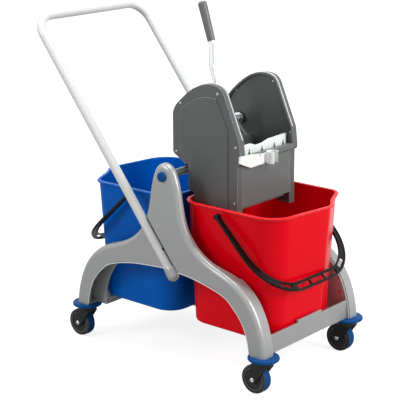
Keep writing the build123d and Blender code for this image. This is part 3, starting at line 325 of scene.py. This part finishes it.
@dataclass(frozen=True)
class GrainedPlastic(Finish):
    """Moulded plastic with a spark-eroded grain: soft highlights that never mirror."""

    wave_mm: float = 28.0
    wave_height: float = 0.25
    cell_smoothness: float = 0.6

    def relief_at(self, tree: Tree, place: Socket) -> Socket:
        """Rounded cells of the mould's grain over its slow waviness."""
        cells = add_node(tree, "ShaderNodeTexVoronoi", {
            "Vector": place, "Scale": per_mm(self.relief_mm), "Smoothness": self.cell_smoothness},
            feature="SMOOTH_F1")
        waves = noise(tree, place, self.wave_mm, detail=1.0)
        return maths(tree, "MULTIPLY_ADD", waves, self.wave_height, cells.outputs["Distance"])


@dataclass(frozen=True)
class PolishedPlastic(Finish):
    """Plastic from a polished mould: clear gloss, faint sink marks, light that goes in a little."""

    depth_weight: float = 0.05
    depth_mm: float = 2.0
    gloss_coat: float = 0.04
    coat_roughness: float = 0.12

    def tune(self, shader: bpy.types.Node) -> None:
        """Adds the gloss and the light inside the wall to the constant values."""
        super().tune(shader)
        shader.inputs["Subsurface Weight"].default_value = self.depth_weight
        shader.inputs["Subsurface Scale"].default_value = self.depth_mm * MM
        shader.inputs["Coat Weight"].default_value = self.gloss_coat
        shader.inputs["Coat Roughness"].default_value = self.coat_roughness


@dataclass(frozen=True)
class PlatedMetal(Finish):
    """Drawn and plated metal: fine lines along the bar stretch its highlights."""

    drawn_along: Point3 = (1.0, 1.0, 1.0)

    def relief_at(self, tree: Tree, place: Socket) -> Socket:
        """Drawing lines, long in one direction."""
        lines = add_node(tree, "ShaderNodeMapping", {"Vector": place, "Scale": self.drawn_along})
        return super().relief_at(tree, lines.outputs["Vector"])

    def tune(self, shader: bpy.types.Node) -> None:
        """Makes it metal and keeps the default IOR."""
        shader.inputs["Metallic"].default_value = 1.0


# Polypropylene with metal flake in silver grey: a satin sheen, a fine grain, edges painted pale as a
# highlight.
FRAME_GREY = GrainedPlastic(
    "silver_grey_polypropylene", "#A1A3A2", 0.31, specular=0.45, relief_mm=1.5, edge_mm=1.2,
    edge_highlight=0.85, edge_highlight_mm=1.8, metallic=0.3)
# A bright silver line along the frame's lower edge: a painted highlight.
ARCH_LIP_HIGHLIGHT = Finish("painted_highlight_silver_polypropylene", "#D9DBDA", 0.28, relief_mm=3.0)
# White powder coat on steel tube: a faint orange peel that softens the highlight.
HANDLE_WHITE = Finish(
    "white_powder_coat", "#CCCECD", 0.34, drift=0.02, relief_mm=4.0, relief_depth_mm=0.005, edge_mm=0.0)
# Low-density polyethylene: pale, waxy and matt.
PLUG_GREY = PolishedPlastic("pale_polyethylene", "#C6C8C6", 0.45)
# Polypropylene from polished moulds: a clear gloss over a deep colour, rims painted pale as a highlight.
BLUE_GLOSS = PolishedPlastic(
    "blue_polypropylene", "#0059B5", 0.22, specular=0.06, relief_mm=26.0, relief_depth_mm=0.12,
    edge_mm=1.6, edge_highlight=0.25)
RED_GLOSS = PolishedPlastic(
    "red_polypropylene", "#E00015", 0.2, specular=0.08, relief_mm=26.0, relief_depth_mm=0.12,
    edge_mm=1.6, edge_highlight=0.5)
# Blue polyamide bumpers and caps: satin, with rub marks from walls and edges painted pale as a highlight.
BUMPER_BLUE = GrainedPlastic("blue_polyamide", "#034682", 0.36, specular=0.08, dust=0.05, edge_highlight=0.2)
# Black polyamide, glossy as moulded.
BAIL_BLACK = PolishedPlastic(
    "black_polyamide", "#080809", 0.22, specular=0.2, relief_mm=14.0, relief_depth_mm=0.06,
    edge_mm=1.6, depth_weight=0.0)
# Black glass-filled polyamide of the forks, dusty from the floor; also hooks and buttons, and the dark strips
# of painted shadow in the handle's grooves.
FORK_BLACK = GrainedPlastic("black_glass_filled_polyamide", "#141516", 0.4, specular=0.35, dust=0.06)
# Dark polypropylene of the wheel hubs, the lever's hub and the press bushes: matt and dusty, edges painted a
# little pale as a highlight.
WHEEL_DARK = GrainedPlastic(
    "dark_grey_polypropylene", "#2B2D2E", 0.42, specular=0.35, dust=0.08, edge_highlight=0.15)
# The wheel hub's ring, a paler grey.
RING_GREY = Finish("pale_ring_grey_polypropylene", "#6A6D6E", 0.4, specular=0.4, relief_mm=2.0)
# ABS with a matt spark-eroded grain, dark grey, its moulded edges paler.
WRINGER_GREY = GrainedPlastic(
    "dark_grey_abs", "#565958", 0.42, specular=0.4, relief_mm=1.3, relief_depth_mm=0.035,
    edge_mm=0.8, edge_highlight=0.5, edge_highlight_mm=1.8)
# The same ABS on the plates, painted a shade lighter for the light that falls on them, with a weaker painted
# edge highlight.
PLATE_GREY = GrainedPlastic(
    "plate_grey_abs", "#626968", 0.4, specular=0.3, relief_mm=1.3, relief_depth_mm=0.03, edge_highlight=0.2)
# The same ABS inside the throat: smoother from wet mops, with no painted edge highlight.
LINER_GREY = GrainedPlastic(
    "liner_grey_abs", "#525554", 0.34, specular=0.4, relief_mm=1.3, relief_depth_mm=0.03)
# The same ABS, painted pale along the cheeks' joint as a highlight.
BEAD_HIGHLIGHT_GREY = Finish("painted_highlight_grey_abs", "#C9CCCB", 0.2, specular=0.6, relief_mm=3.0)
# Natural white polyacetal: waxy, a little translucent.
CLIP_WHITE = PolishedPlastic(
    "white_polyacetal", "#E9EFED", 0.35, drift=0.015, relief_mm=6.0, depth_weight=0.1)
# Cast polyurethane tread: matt, with floor dust.
TREAD_BLUE = GrainedPlastic("blue_polyurethane", "#06437B", 0.46, specular=0.08, dust=0.08)
# Dipped vinyl grip: soft sheen and a fine pebble.
GRIP_GREY = GrainedPlastic("grey_dipped_vinyl", "#5F6160", 0.36, relief_mm=2.4, relief_depth_mm=0.05)
# Zinc plate: grey metal with a dull shine.
ZINC = PlatedMetal(
    "zinc_plated_steel", "#C0C4C7", 0.34, relief_mm=0.9, relief_depth_mm=0.004, edge_mm=0.0)
# Older zinc plate of the press shaft: darker, with a dull shine. On the screws' crosses the same darker grey
# is painted shade in the cross recesses.
DARK_ZINC = PlatedMetal("dull_zinc_plated_steel", "#9EA2A5", 0.36, relief_mm=0.9, relief_depth_mm=0.004)
# Nickel on the cheek screws: pale and softly shining.
NICKEL = PlatedMetal("satin_nickel_plate", "#E4E6E7", 0.45, relief_mm=0.9, relief_depth_mm=0.003)
# Bright chrome on the lever and the axle heads: clear reflections, faintly lined.
BRIGHT = PlatedMetal(
    "bright_chromed_steel", "#E6E8E9", 0.14, drift=0.02, relief_mm=5.0, relief_depth_mm=0.002,
    edge_mm=0.0, drawn_along=(1.0, 1.0, 0.1))
# Drawn aluminium box rails: lines along their length.
ALUMINIUM = PlatedMetal(
    "drawn_aluminium", "#B6B8B9", 0.36, relief_mm=0.8, relief_depth_mm=0.006, drawn_along=(0.05, 1.0, 1.0))


@dataclass
class Dresser:
    """Gives CAD nodes and new pieces their materials, each made once."""

    made: dict[str, bpy.types.Material] = field(default_factory=dict)

    def material(self, finish: Finish) -> bpy.types.Material:
        """The one material of a finish."""
        if finish.name not in self.made:
            self.made[finish.name] = finish.material()
        return self.made[finish.name]

    def node(self, name: str, finish: Finish) -> None:
        """Dresses a CAD node.

        Args:
            name: Node name.
            finish: Finish that the node gets.
        """
        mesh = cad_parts[name].data
        mesh.materials.clear()
        mesh.materials.append(self.material(finish))
        log.info("dressed %s in %s", name, finish.name)

    def piece(self, name: str, shape: Shape, body: str, finish: Finish, slot: str) -> None:
        """Makes a piece from a bmesh and rides it on a body.

        Args:
            name: Piece name.
            shape: Its closed mesh in the trolley's frame, freed here.
            body: CAD body that it moves with.
            finish: Finish that it gets.
            slot: Name of a material slot; not used.
        """
        bmesh.ops.recalc_face_normals(shape, faces=shape.faces)
        if shape.calc_volume(signed=True) < 0.0:
            bmesh.ops.reverse_faces(shape, faces=shape.faces)
        for edge in shape.edges:
            edge.smooth = not edge.is_manifold or edge.calc_face_angle(0.0) < math.radians(SHARP_DEG)
        mesh = bpy.data.meshes.new(name)
        shape.to_mesh(mesh)
        shape.free()
        mesh.shade_smooth()
        mesh.materials.append(self.material(finish))
        piece = bpy.data.objects.new(name, mesh)
        bpy.context.scene.collection.objects.link(piece)
        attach(piece, body)
        log.info("made %s on %s in %s", name, body, finish.name)


def metres(points_mm: Iterable[Point2]) -> list[Point2]:
    """Points in X and Z, from millimetres."""
    return [(x * MM, z * MM) for x, z in points_mm]


def edges_of(verts: list[bmesh.types.BMVert]) -> list[bmesh.types.BMEdge]:
    """Edges at some vertices, each once and in a fixed order."""
    return list(dict.fromkeys(edge for vert in verts for edge in vert.link_edges))


def smooth_path(points: list[Point3], steps: int) -> list[Vector]:
    """A Catmull-Rom curve through points.

    Args:
        points: Points in metres.
        steps: Stations per span.

    Returns:
        Stations along the curve.
    """
    knots = [Vector(point) for point in points]
    knots = [knots[0] * 2 - knots[1]] + knots + [knots[-1] * 2 - knots[-2]]
    path = []
    for first, second, third, fourth in zip(knots, knots[1:], knots[2:], knots[3:]):
        for step in range(steps):
            share = step / steps
            turn = (third - first) * share + (first * 2 - second * 5 + third * 4 - fourth) * share ** 2
            path.append(second + (turn + (second * 3 - first - third * 3 + fourth) * share ** 3) / 2)
    return path + [knots[-2]]


def bar_through(points: list[Point3], steps: int, radius: float) -> Shape:
    """A round bar with closed ends, along a curve through points.

    Args:
        points: Points of its middle line.
        steps: Stations per span.
        radius: Its radius.

    Returns:
        The bar's mesh.
    """
    shape = bmesh.new()
    path = smooth_path(points, steps)
    last = len(path) - 1
    rings = []
    for index, station in enumerate(path):
        ahead = path[min(index + 1, last)] - path[max(index - 1, 0)]
        turn = ahead.to_track_quat("Z", "Y").to_matrix().to_4x4()
        made = bmesh.ops.create_circle(
            shape, radius=radius, segments=BAR_SIDES, matrix=Matrix.Translation(station) @ turn,
            cap_ends=index in (0, last))
        rings.append(edges_of(made["verts"]))
    for low, high in zip(rings, rings[1:]):
        bmesh.ops.bridge_loops(shape, edges=low + high)
    return shape


@dataclass(frozen=True)
class HandleLeg:
    """Straight leg of the push handle, which lies half sunk in a side frame's face."""

    foot: Point2 = (0.033, 0.255)
    top: Point2 = (-0.452, 0.869)
    face_y: float = 0.206

    def at(self, side: Side, across_mm: float, out_mm: float, along_mm: float) -> Point3:
        """A place beside a leg.

        Args:
            side: Which leg.
            across_mm: From its axis towards the front, in the frame's face.
            out_mm: Out of the frame's face.
            along_mm: Up its axis from the end of the tube.

        Returns:
            X, Y and Z in metres.
        """
        run, rise = self.top[0] - self.foot[0], self.top[1] - self.foot[1]
        ux, uz = run / math.hypot(run, rise), rise / math.hypot(run, rise)
        x = self.foot[0] + (across_mm * uz + along_mm * ux) * MM
        z = self.foot[1] + (along_mm * uz - across_mm * ux) * MM
        return x, side.value * (self.face_y + out_mm * MM), z


LEG = HandleLeg()


@dataclass
class Chassis:
    """Side frames, end beams, rails and the cross tube, with a lip under each arch painted bright as a
    highlight.
    """

    dresser: Dresser
    lip_y: float = 0.2052
    lip_radius: float = 0.0013
    lip_steps: int = 6
    # Arch from a front foot inwards, then its crown behind and before the handle's cup, in X and Z.
    arch_mm: tuple[Point2, ...] = (
        (279.0, 107.0), (270.0, 147.9), (254.0, 182.9), (227.0, 213.9), (192.0, 238.9), (114.0, 258.9))
    crown_back_mm: tuple[Point2, ...] = ((-12.0, 268.6), (-1.0, 267.6))
    crown_front_mm: tuple[Point2, ...] = ((54.0, 266.2),)
    # Rim of the cup, across and along the handle's leg.
    cup_rim_mm: tuple[Point2, ...] = (
        (-17.2, 20.0), (-17.2, 9.0), (-17.2, 0.0), (-14.1, -7.9),
        (-4.5, -11.1), (4.5, -11.1), (14.1, -7.9), (17.2, -2.0))

    def dress(self) -> None:
        """Gives the chassis nodes their finishes."""
        for side in Side:
            self.dresser.node(f"side_frame_{side.word}", FRAME_GREY)
            self.dresser.node(f"support_rail_{side.word}", ALUMINIUM)
            self.dresser.node(f"tower_cap_{side.word}", BUMPER_BLUE)
        for end in ("front", "rear"):
            self.dresser.node(f"end_beam_{end}", FRAME_GREY)
        for name in ("tower_tube", "tower_bolts", "beam_screws", "rail_screws"):
            self.dresser.node(name, ZINC)

    def lip(self, side: Side) -> Shape:
        """Lip under one arch and round the cup of the handle's foot, bright as a painted highlight.

        Args:
            side: Which side frame.

        Returns:
            The lip's mesh.
        """
        back = tuple((-x, z) for x, z in self.arch_mm) + self.crown_back_mm
        front = self.crown_front_mm + self.arch_mm[::-1]
        rim = [LEG.at(side, across, 0.0, along) for across, along in self.cup_rim_mm]
        run = metres(back) + [(x, z) for x, _, z in rim] + metres(front)
        return bar_through(
            [(x, side.value * self.lip_y, z) for x, z in run], self.lip_steps, self.lip_radius)

    def build(self) -> None:
        """Builds the lips with their painted highlight."""
        for side in Side:
            self.dresser.piece(f"arch_lip_{side.word}", self.lip(side), "frame", ARCH_LIP_HIGHLIGHT, "frame_grey")


@dataclass
class PushHandle:
    """Bent tube with its two end plugs, the cups round its feet, a dark strip of painted shadow in each
    groove, and the lock buttons.
    """

    dresser: Dresser
    turn_steps: int = 24
    # Outer half of a cup: its rim in the frame's face, its reach out of it, and the height up the leg.
    cup_profile_mm: tuple[Point3, ...] = (
        (0.0, 0.0, -11.0), (6.0, 5.1, -11.0), (10.2, 8.7, -10.2), (13.8, 11.7, -7.8), (16.2, 13.8, -4.2),
        (17.0, 14.4, 0.0), (17.0, 14.4, 10.0), (16.4, 14.0, 18.0), (14.8, 13.2, 24.0), (12.9, 12.6, 26.0),
        (12.15, 12.15, 26.0), (12.15, 12.15, -6.1), (0.0, 0.0, -6.1))
    shadow_strip_radius: float = 0.0021
    shadow_strip_steps: int = 8
    shadow_strip_across_mm: float = 14.7
    shadow_strip_out_mm: float = -3.2
    shadow_strip_ends_mm: Point2 = (4.0, 165.0)
    button_place: Point2 = (-0.0025, 0.3205)
    button_seat: float = 0.197
    button_profile: tuple[Point2, ...] = (
        (0.0, 0.0), (0.0036, 0.0), (0.0036, 0.0095), (0.0031, 0.0108), (0.0018, 0.0117), (0.0, 0.012))

    def dress(self) -> None:
        """Gives the handle nodes their finishes."""
        self.dresser.node("push_handle", HANDLE_WHITE)
        for side in Side:
            self.dresser.node(f"handle_plug_{side.word}", PLUG_GREY)

    def cup(self, side: Side) -> Shape:
        """Outer half of the cup round a foot, as a closed half shell.

        Args:
            side: Which foot.

        Returns:
            The cup's mesh.
        """
        shape = bmesh.new()
        rings = []
        for step in range(self.turn_steps + 1):
            turn = math.pi * step / self.turn_steps
            rings.append([
                shape.verts.new(LEG.at(side, across * math.cos(turn), out * math.sin(turn), along))
                for across, out, along in self.cup_profile_mm])
        for low, high in zip(rings, rings[1:]):
            for index in range(len(low) - 1):
                shape.faces.new((low[index], low[index + 1], high[index + 1], high[index]))
        for ring in (rings[0], rings[-1]):
            shape.faces.new(ring)
        bmesh.ops.remove_doubles(shape, verts=shape.verts, dist=MERGE_WITHIN)
        return shape

    def shadow_strip(self, side: Side) -> Shape:
        """Dark strip in the groove beside a leg: painted shadow.

        Args:
            side: Which leg.

        Returns:
            The seal's mesh.
        """
        ends = [LEG.at(side, self.shadow_strip_across_mm, self.shadow_strip_out_mm, along) for along in self.shadow_strip_ends_mm]
        return bar_through(ends, self.shadow_strip_steps, self.shadow_strip_radius)

    def button(self, side: Side) -> Shape:
        """Domed lock button beside a leg.

        Args:
            side: Which side frame it sits in.

        Returns:
            The button's mesh.
        """
        shape = bmesh.new()
        x, z = self.button_place
        verts = [shape.verts.new((x + across, side.value * (self.button_seat + out), z))
                 for across, out in self.button_profile]
        edges = [shape.edges.new(pair) for pair in zip(verts, verts[1:])]
        bmesh.ops.spin(
            shape, geom=verts + edges, cent=(x, 0.0, z), axis=ALONG_Y, angle=math.tau,
            steps=self.turn_steps, use_merge=True)
        bmesh.ops.remove_doubles(shape, verts=shape.verts, dist=MERGE_WITHIN)
        return shape

    def build(self) -> None:
        """Builds the cups, the painted shadow strips and the lock buttons."""
        for side in Side:
            self.dresser.piece(f"handle_cup_{side.word}", self.cup(side), "frame", FRAME_GREY, "frame_grey")
            self.dresser.piece(f"handle_shadow_strip_{side.word}", self.shadow_strip(side), "frame", FORK_BLACK, "fork_black")
            self.dresser.piece(
                f"handle_button_{side.word}", self.button(side), "frame", FORK_BLACK, "fork_black")


@dataclass
class Casters:
    """Four swivel casters with round bumpers, and the ring on each face of their wheels."""

    dresser: Dresser
    ring_radius: float = 0.0275
    ring_steps: int = 72
    wire_radius: float = 0.0008
    wire_sides: int = 8

    def dress(self) -> None:
        """Gives the caster nodes their finishes."""
        finishes = {
            "caster_bumper": BUMPER_BLUE,
            "caster_fork": FORK_BLACK,
            "caster_axle": BRIGHT,
            "wheel_hub": WHEEL_DARK,
            "wheel_tyre": TREAD_BLUE,
        }
        for corner in Corner:
            for piece, finish in finishes.items():
                self.dresser.node(f"{piece}_{corner.value}", finish)
        self.dresser.node("caster_stems", ZINC)

    def rings(self, corner: Corner) -> Shape:
        """Moulded ring on both faces of a wheel's disc.

        Args:
            corner: Which wheel.

        Returns:
            The two rings' mesh.
        """
        low, high = (Vector(end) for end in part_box(f"wheel_hub_{corner.value}"))
        middle = (low + high) / 2
        shape = bmesh.new()
        for face in (low.y, high.y):
            start = Vector((middle.x + self.ring_radius, face, middle.z))
            made = bmesh.ops.create_circle(
                shape, radius=self.wire_radius, segments=self.wire_sides, matrix=Matrix.Translation(start))
            bmesh.ops.spin(
                shape, geom=made["verts"] + edges_of(made["verts"]), cent=(middle.x, face, middle.z),
                axis=ALONG_Y, angle=math.tau, steps=self.ring_steps, use_merge=True)
        bmesh.ops.remove_doubles(shape, verts=shape.verts, dist=MERGE_WITHIN)
        return shape

    def build(self) -> None:
        """Builds the rings on the wheel discs."""
        for corner in Corner:
            self.dresser.piece(
                f"wheel_rings_{corner.value}", self.rings(corner), f"wheel_{corner.value}",
                RING_GREY, "black_plastic")


@dataclass
class Buckets:
    """Red and blue bucket with their bails."""

    dresser: Dresser

    def dress(self) -> None:
        """Gives the bucket nodes their finishes."""
        self.dresser.node("bucket_red", RED_GLOSS)
        self.dresser.node("bucket_blue", BLUE_GLOSS)
        for colour in ("red", "blue"):
            self.dresser.node(f"bail_{colour}", BAIL_BLACK)


@dataclass
class Wringer:
    """Cheeks, plates, sieve and pole clip, with a joint bead painted pale as a highlight and screw crosses
    painted dark as shade in their recesses on each cheek.
    """

    dresser: Dresser
    bead_y: float = 0.103
    bead_radius: float = 0.002
    bead_steps: int = 5
    # Crest of a cheek from its back to its front, and the screws along its border, in X and Z.
    crest_mm: tuple[Point2, ...] = (
        (-43.0, 648.0), (-42.0, 657.0), (-38.0, 668.0), (-18.0, 691.0), (12.0, 716.0), (42.0, 733.0),
        (72.0, 741.0), (94.0, 740.5), (109.0, 736.0), (119.0, 728.0), (126.5, 715.0), (149.7, 662.0),
        (172.0, 611.0))
    screws_mm: tuple[Point2, ...] = (
        (-16.0, 683.0), (106.0, 721.0), (-31.0, 556.0), (164.0, 594.0), (160.0, 450.0))
    screw_y: float = 0.1196
    cross_size: Point3 = (0.0046, 0.0004, 0.0011)
    cross_turns_deg: Point2 = (20.0, 110.0)
    cross_bevel: float = 0.00015

    def dress(self) -> None:
        """Gives the wringer nodes their finishes."""
        for side in Side:
            self.dresser.node(f"cheek_shell_{side.word}", WRINGER_GREY)
            self.dresser.node(f"cheek_liner_{side.word}", LINER_GREY)
            self.dresser.node(f"wringer_hook_{side.word}", FORK_BLACK)
            self.dresser.node(f"press_bush_{side.word}", WHEEL_DARK)
        for name in ("wringer_front_plate", "wringer_back_plate", "drain_grate"):
            self.dresser.node(name, PLATE_GREY)
        self.dresser.node("cheek_screws", NICKEL)
        self.dresser.node("sieve_plate", CLIP_WHITE)
        self.dresser.node("pole_clip", CLIP_WHITE)

    def bead(self, side: Side) -> Shape:
        """Bead where a cheek's two halves meet, pale as a painted highlight.

        Args:
            side: Which cheek.

        Returns:
            The bead's mesh.
        """
        crest = [(x, side.value * self.bead_y, z) for x, z in metres(self.crest_mm)]
        return bar_through(crest, self.bead_steps, self.bead_radius)

    def screw_crosses(self, side: Side) -> Shape:
        """Crosses in one cheek's screws, dark as painted shade in their recesses.

        Args:
            side: Which cheek.

        Returns:
            The crosses' mesh.
        """
        shape = bmesh.new()
        scale = Matrix.Diagonal((*self.cross_size, 1.0))
        for x, z in metres(self.screws_mm):
            place = Matrix.Translation((x, side.value * self.screw_y, z))
            for turn in self.cross_turns_deg:
                made = bmesh.ops.create_cube(
                    shape, size=1.0, matrix=place @ Matrix.Rotation(math.radians(turn), 4, "Y") @ scale)
                bmesh.ops.bevel(
                    shape, geom=edges_of(made["verts"]), offset=self.cross_bevel, offset_type="OFFSET",
                    segments=2, profile=0.5, affect="EDGES", material=-1)
        return shape

    def build(self) -> None:
        """Builds the beads and the screws' crosses."""
        for side in Side:
            self.dresser.piece(
                f"cheek_bead_{side.word}", self.bead(side), "wringer", BEAD_HIGHLIGHT_GREY, "wringer_grey")
            self.dresser.piece(
                f"cheek_screw_crosses_{side.word}", self.screw_crosses(side), "wringer", DARK_ZINC, "steel")


@dataclass
class PressLever:
    """Lever, press plate, shaft and return spring."""

    dresser: Dresser

    def dress(self) -> None:
        """Gives the press nodes their finishes."""
        self.dresser.node("press_shaft", DARK_ZINC)
        self.dresser.node("press_plate", LINER_GREY)
        self.dresser.node("press_spring", ZINC)
        self.dresser.node("lever_hub", WHEEL_DARK)
        self.dresser.node("lever_tube", BRIGHT)
        self.dresser.node("lever_grip", GRIP_GREY)


@dataclass(frozen=True)
class Lamp:
    """A soft rectangular lamp, with its size in metres and its power in watts."""

    name: str
    place: Point3
    size: Point2
    power: float

    def hang(self, aim: Point3) -> None:
        """Adds the lamp to the scene, facing a point."""
        data = bpy.data.lights.new(self.name, "AREA")
        data.shape = "RECTANGLE"
        data.size, data.size_y = self.size
        data.energy = self.power
        lamp = bpy.data.objects.new(self.name, data)
        lamp.location = self.place
        lamp.rotation_euler = (Vector(aim) - Vector(self.place)).to_track_quat("-Z", "Y").to_euler()
        bpy.context.scene.collection.objects.link(lamp)


def seen(tree: Tree, mirrored: float | Socket) -> Socket:
    """A value of 1 for camera and transmission rays, and a share of it for glossy ones.

    Args:
        tree: Node tree that needs it.
        mirrored: Share that glossy rays see.

    Returns:
        Socket with the value.
    """
    rays = add_node(tree, "ShaderNodeLightPath").outputs
    first = maths(tree, "MAXIMUM", rays["Is Camera Ray"], rays["Is Transmission Ray"])
    return maths(tree, "MAXIMUM", first, maths(tree, "MULTIPLY", rays["Is Glossy Ray"], mirrored))


@dataclass
class Studio:
    """Pale floor, soft lamps and the photograph's camera."""

    azimuth_deg: float = 40.562
    elevation_deg: float = 15.827
    roll_deg: float = -0.207
    focal_px: float = 1326.283
    frame_px: float = 400.0
    sensor_mm: float = 36.0
    clip: Point2 = (0.05, 200.0)
    distance: float = 3.5373
    target: Point3 = (-0.053745, 0.0, 0.39541)
    lamps: tuple[Lamp, ...] = (
        Lamp("near_box", (-1.2, -2.6, 2.1), (1.0, 1.0), 38.0),
        Lamp("end_box", (2.9, 0.5, 1.7), (0.8, 1.8), 70.0),
        Lamp("top_box", (0.1, 0.2, 3.1), (1.6, 1.4), 50.0),
        Lamp("edge_strip", (-1.9, -0.8, 2.3), (0.3, 1.2), 9.0),
    )
    lamp_aim: Point3 = (0.0, 0.0, 0.35)
    sky_colour: str = "#FFFFFF"
    sky_light: float = 0.5
    sky_mirrored: float = 0.9
    floor_size: float = 60.0
    floor_colour: str = "#A8A8A8"
    # The floor's own white for the eye: distances from the middle, and its strength at both.
    glow_reach: Point2 = (0.7, 2.2)
    floor_glow: Point2 = (0.8, 1.0)
    # What mirrors see of it: a shade round the trolley, and a dark strip along X.
    shade_reach: Point2 = (0.9, 2.2)
    shade_share: Point2 = (0.12, 0.95)
    strip_y: float = -0.7
    strip_reach: Point2 = (0.9, 1.4)
    strip_share: Point2 = (0.08, 1.0)

    def camera(self) -> None:
        """Sets the camera that was fitted to the photograph."""
        turn, lift, tip = map(math.radians, (self.azimuth_deg, self.elevation_deg, self.roll_deg))
        back = Vector((math.sin(turn) * math.cos(lift), -math.cos(turn) * math.cos(lift), math.sin(lift)))
        right = Vector((math.cos(turn), math.sin(turn), 0.0))
        up = back.cross(right)
        level = right * math.cos(tip) + up * math.sin(tip)
        plumb = up * math.cos(tip) - right * math.sin(tip)
        data = bpy.data.cameras.new("camera")
        data.sensor_width = self.sensor_mm
        data.lens = self.focal_px / self.frame_px * self.sensor_mm
        data.clip_start, data.clip_end = self.clip
        camera = bpy.data.objects.new("camera", data)
        place = Vector(self.target) + back * self.distance
        camera.matrix_world = Matrix.Translation(place) @ Matrix((level, plumb, back)).transposed().to_4x4()
        bpy.context.scene.collection.objects.link(camera)
        bpy.context.scene.camera = camera

    def world(self) -> None:
        """White surroundings for the eye, softer ones for the light."""
        world = bpy.data.worlds.new("studio")
        world.use_nodes = True
        tree = world.node_tree
        strength = ramp(tree, seen(tree, self.sky_mirrored), (0.0, 1.0), (self.sky_light, 1.0))
        sky = tree.nodes["Background"]
        sky.inputs["Color"].default_value = linear(self.sky_colour)
        tree.links.new(strength, sky.inputs["Strength"])
        bpy.context.scene.world = world

    def mirrored(self, tree: Tree, place: Socket, reach: Socket) -> Socket:
        """What mirrors see of the floor: white, but for the shade round the trolley and the strip.

        Args:
            tree: Node tree of the floor.
            place: Object coordinates.
            reach: Distance from the middle.

        Returns:
            Socket with the share.
        """
        around = ramp(tree, reach, self.shade_reach, self.shade_share)
        across = add_node(tree, "ShaderNodeSeparateXYZ", {0: place}).outputs["Y"]
        offset = maths(tree, "ABSOLUTE", maths(tree, "SUBTRACT", across, self.strip_y))
        return maths(tree, "MULTIPLY", around, ramp(tree, offset, self.strip_reach, self.strip_share))

    def floor(self) -> None:
        """Pale floor that keeps the soft shadow under the wheels and turns white further out."""
        shape = bmesh.new()
        bmesh.ops.create_grid(shape, x_segments=1, y_segments=1, size=self.floor_size / 2)
        mesh = bpy.data.meshes.new("floor")
        shape.to_mesh(mesh)
        shape.free()
        material = bpy.data.materials.new("pale_floor")
        material.use_nodes = True
        tree = material.node_tree
        tree.nodes.remove(tree.nodes["Principled BSDF"])
        place = add_node(tree, "ShaderNodeTexCoord").outputs["Object"]
        reach = add_node(tree, "ShaderNodeVectorMath", {0: place}, operation="LENGTH").outputs["Value"]
        glow = ramp(tree, reach, self.glow_reach, self.floor_glow)
        strength = maths(tree, "MULTIPLY", glow, seen(tree, self.mirrored(tree, place, reach)))
        matt = add_node(tree, "ShaderNodeBsdfDiffuse", {"Color": linear(self.floor_colour)})
        light = add_node(tree, "ShaderNodeEmission", {"Strength": strength})
        both = add_node(tree, "ShaderNodeAddShader", {0: matt.outputs["BSDF"], 1: light.outputs["Emission"]})
        tree.links.new(both.outputs["Shader"], tree.nodes["Material Output"].inputs["Surface"])
        mesh.materials.append(material)
        floor = bpy.data.objects.new("floor", mesh)
        bpy.context.scene.collection.objects.link(floor)

    def build(self) -> None:
        """Builds world, floor, lamps and camera."""
        bpy.context.scene.view_settings.view_transform = "Standard"
        self.world()
        self.floor()
        for lamp in self.lamps:
            lamp.hang(self.lamp_aim)
        self.camera()


def main() -> None:
    """Builds the trolley's looks in order."""
    logging.basicConfig(level=logging.INFO, format="%(name)s: %(message)s")
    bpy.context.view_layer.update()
    dresser = Dresser()
    for assembly in (Buckets(dresser), PressLever(dresser)):
        assembly.dress()
    for assembly in (Chassis(dresser), PushHandle(dresser), Casters(dresser), Wringer(dresser)):
        assembly.dress()
        assembly.build()
    Studio().build()


if __name__ == "__main__":
    main()
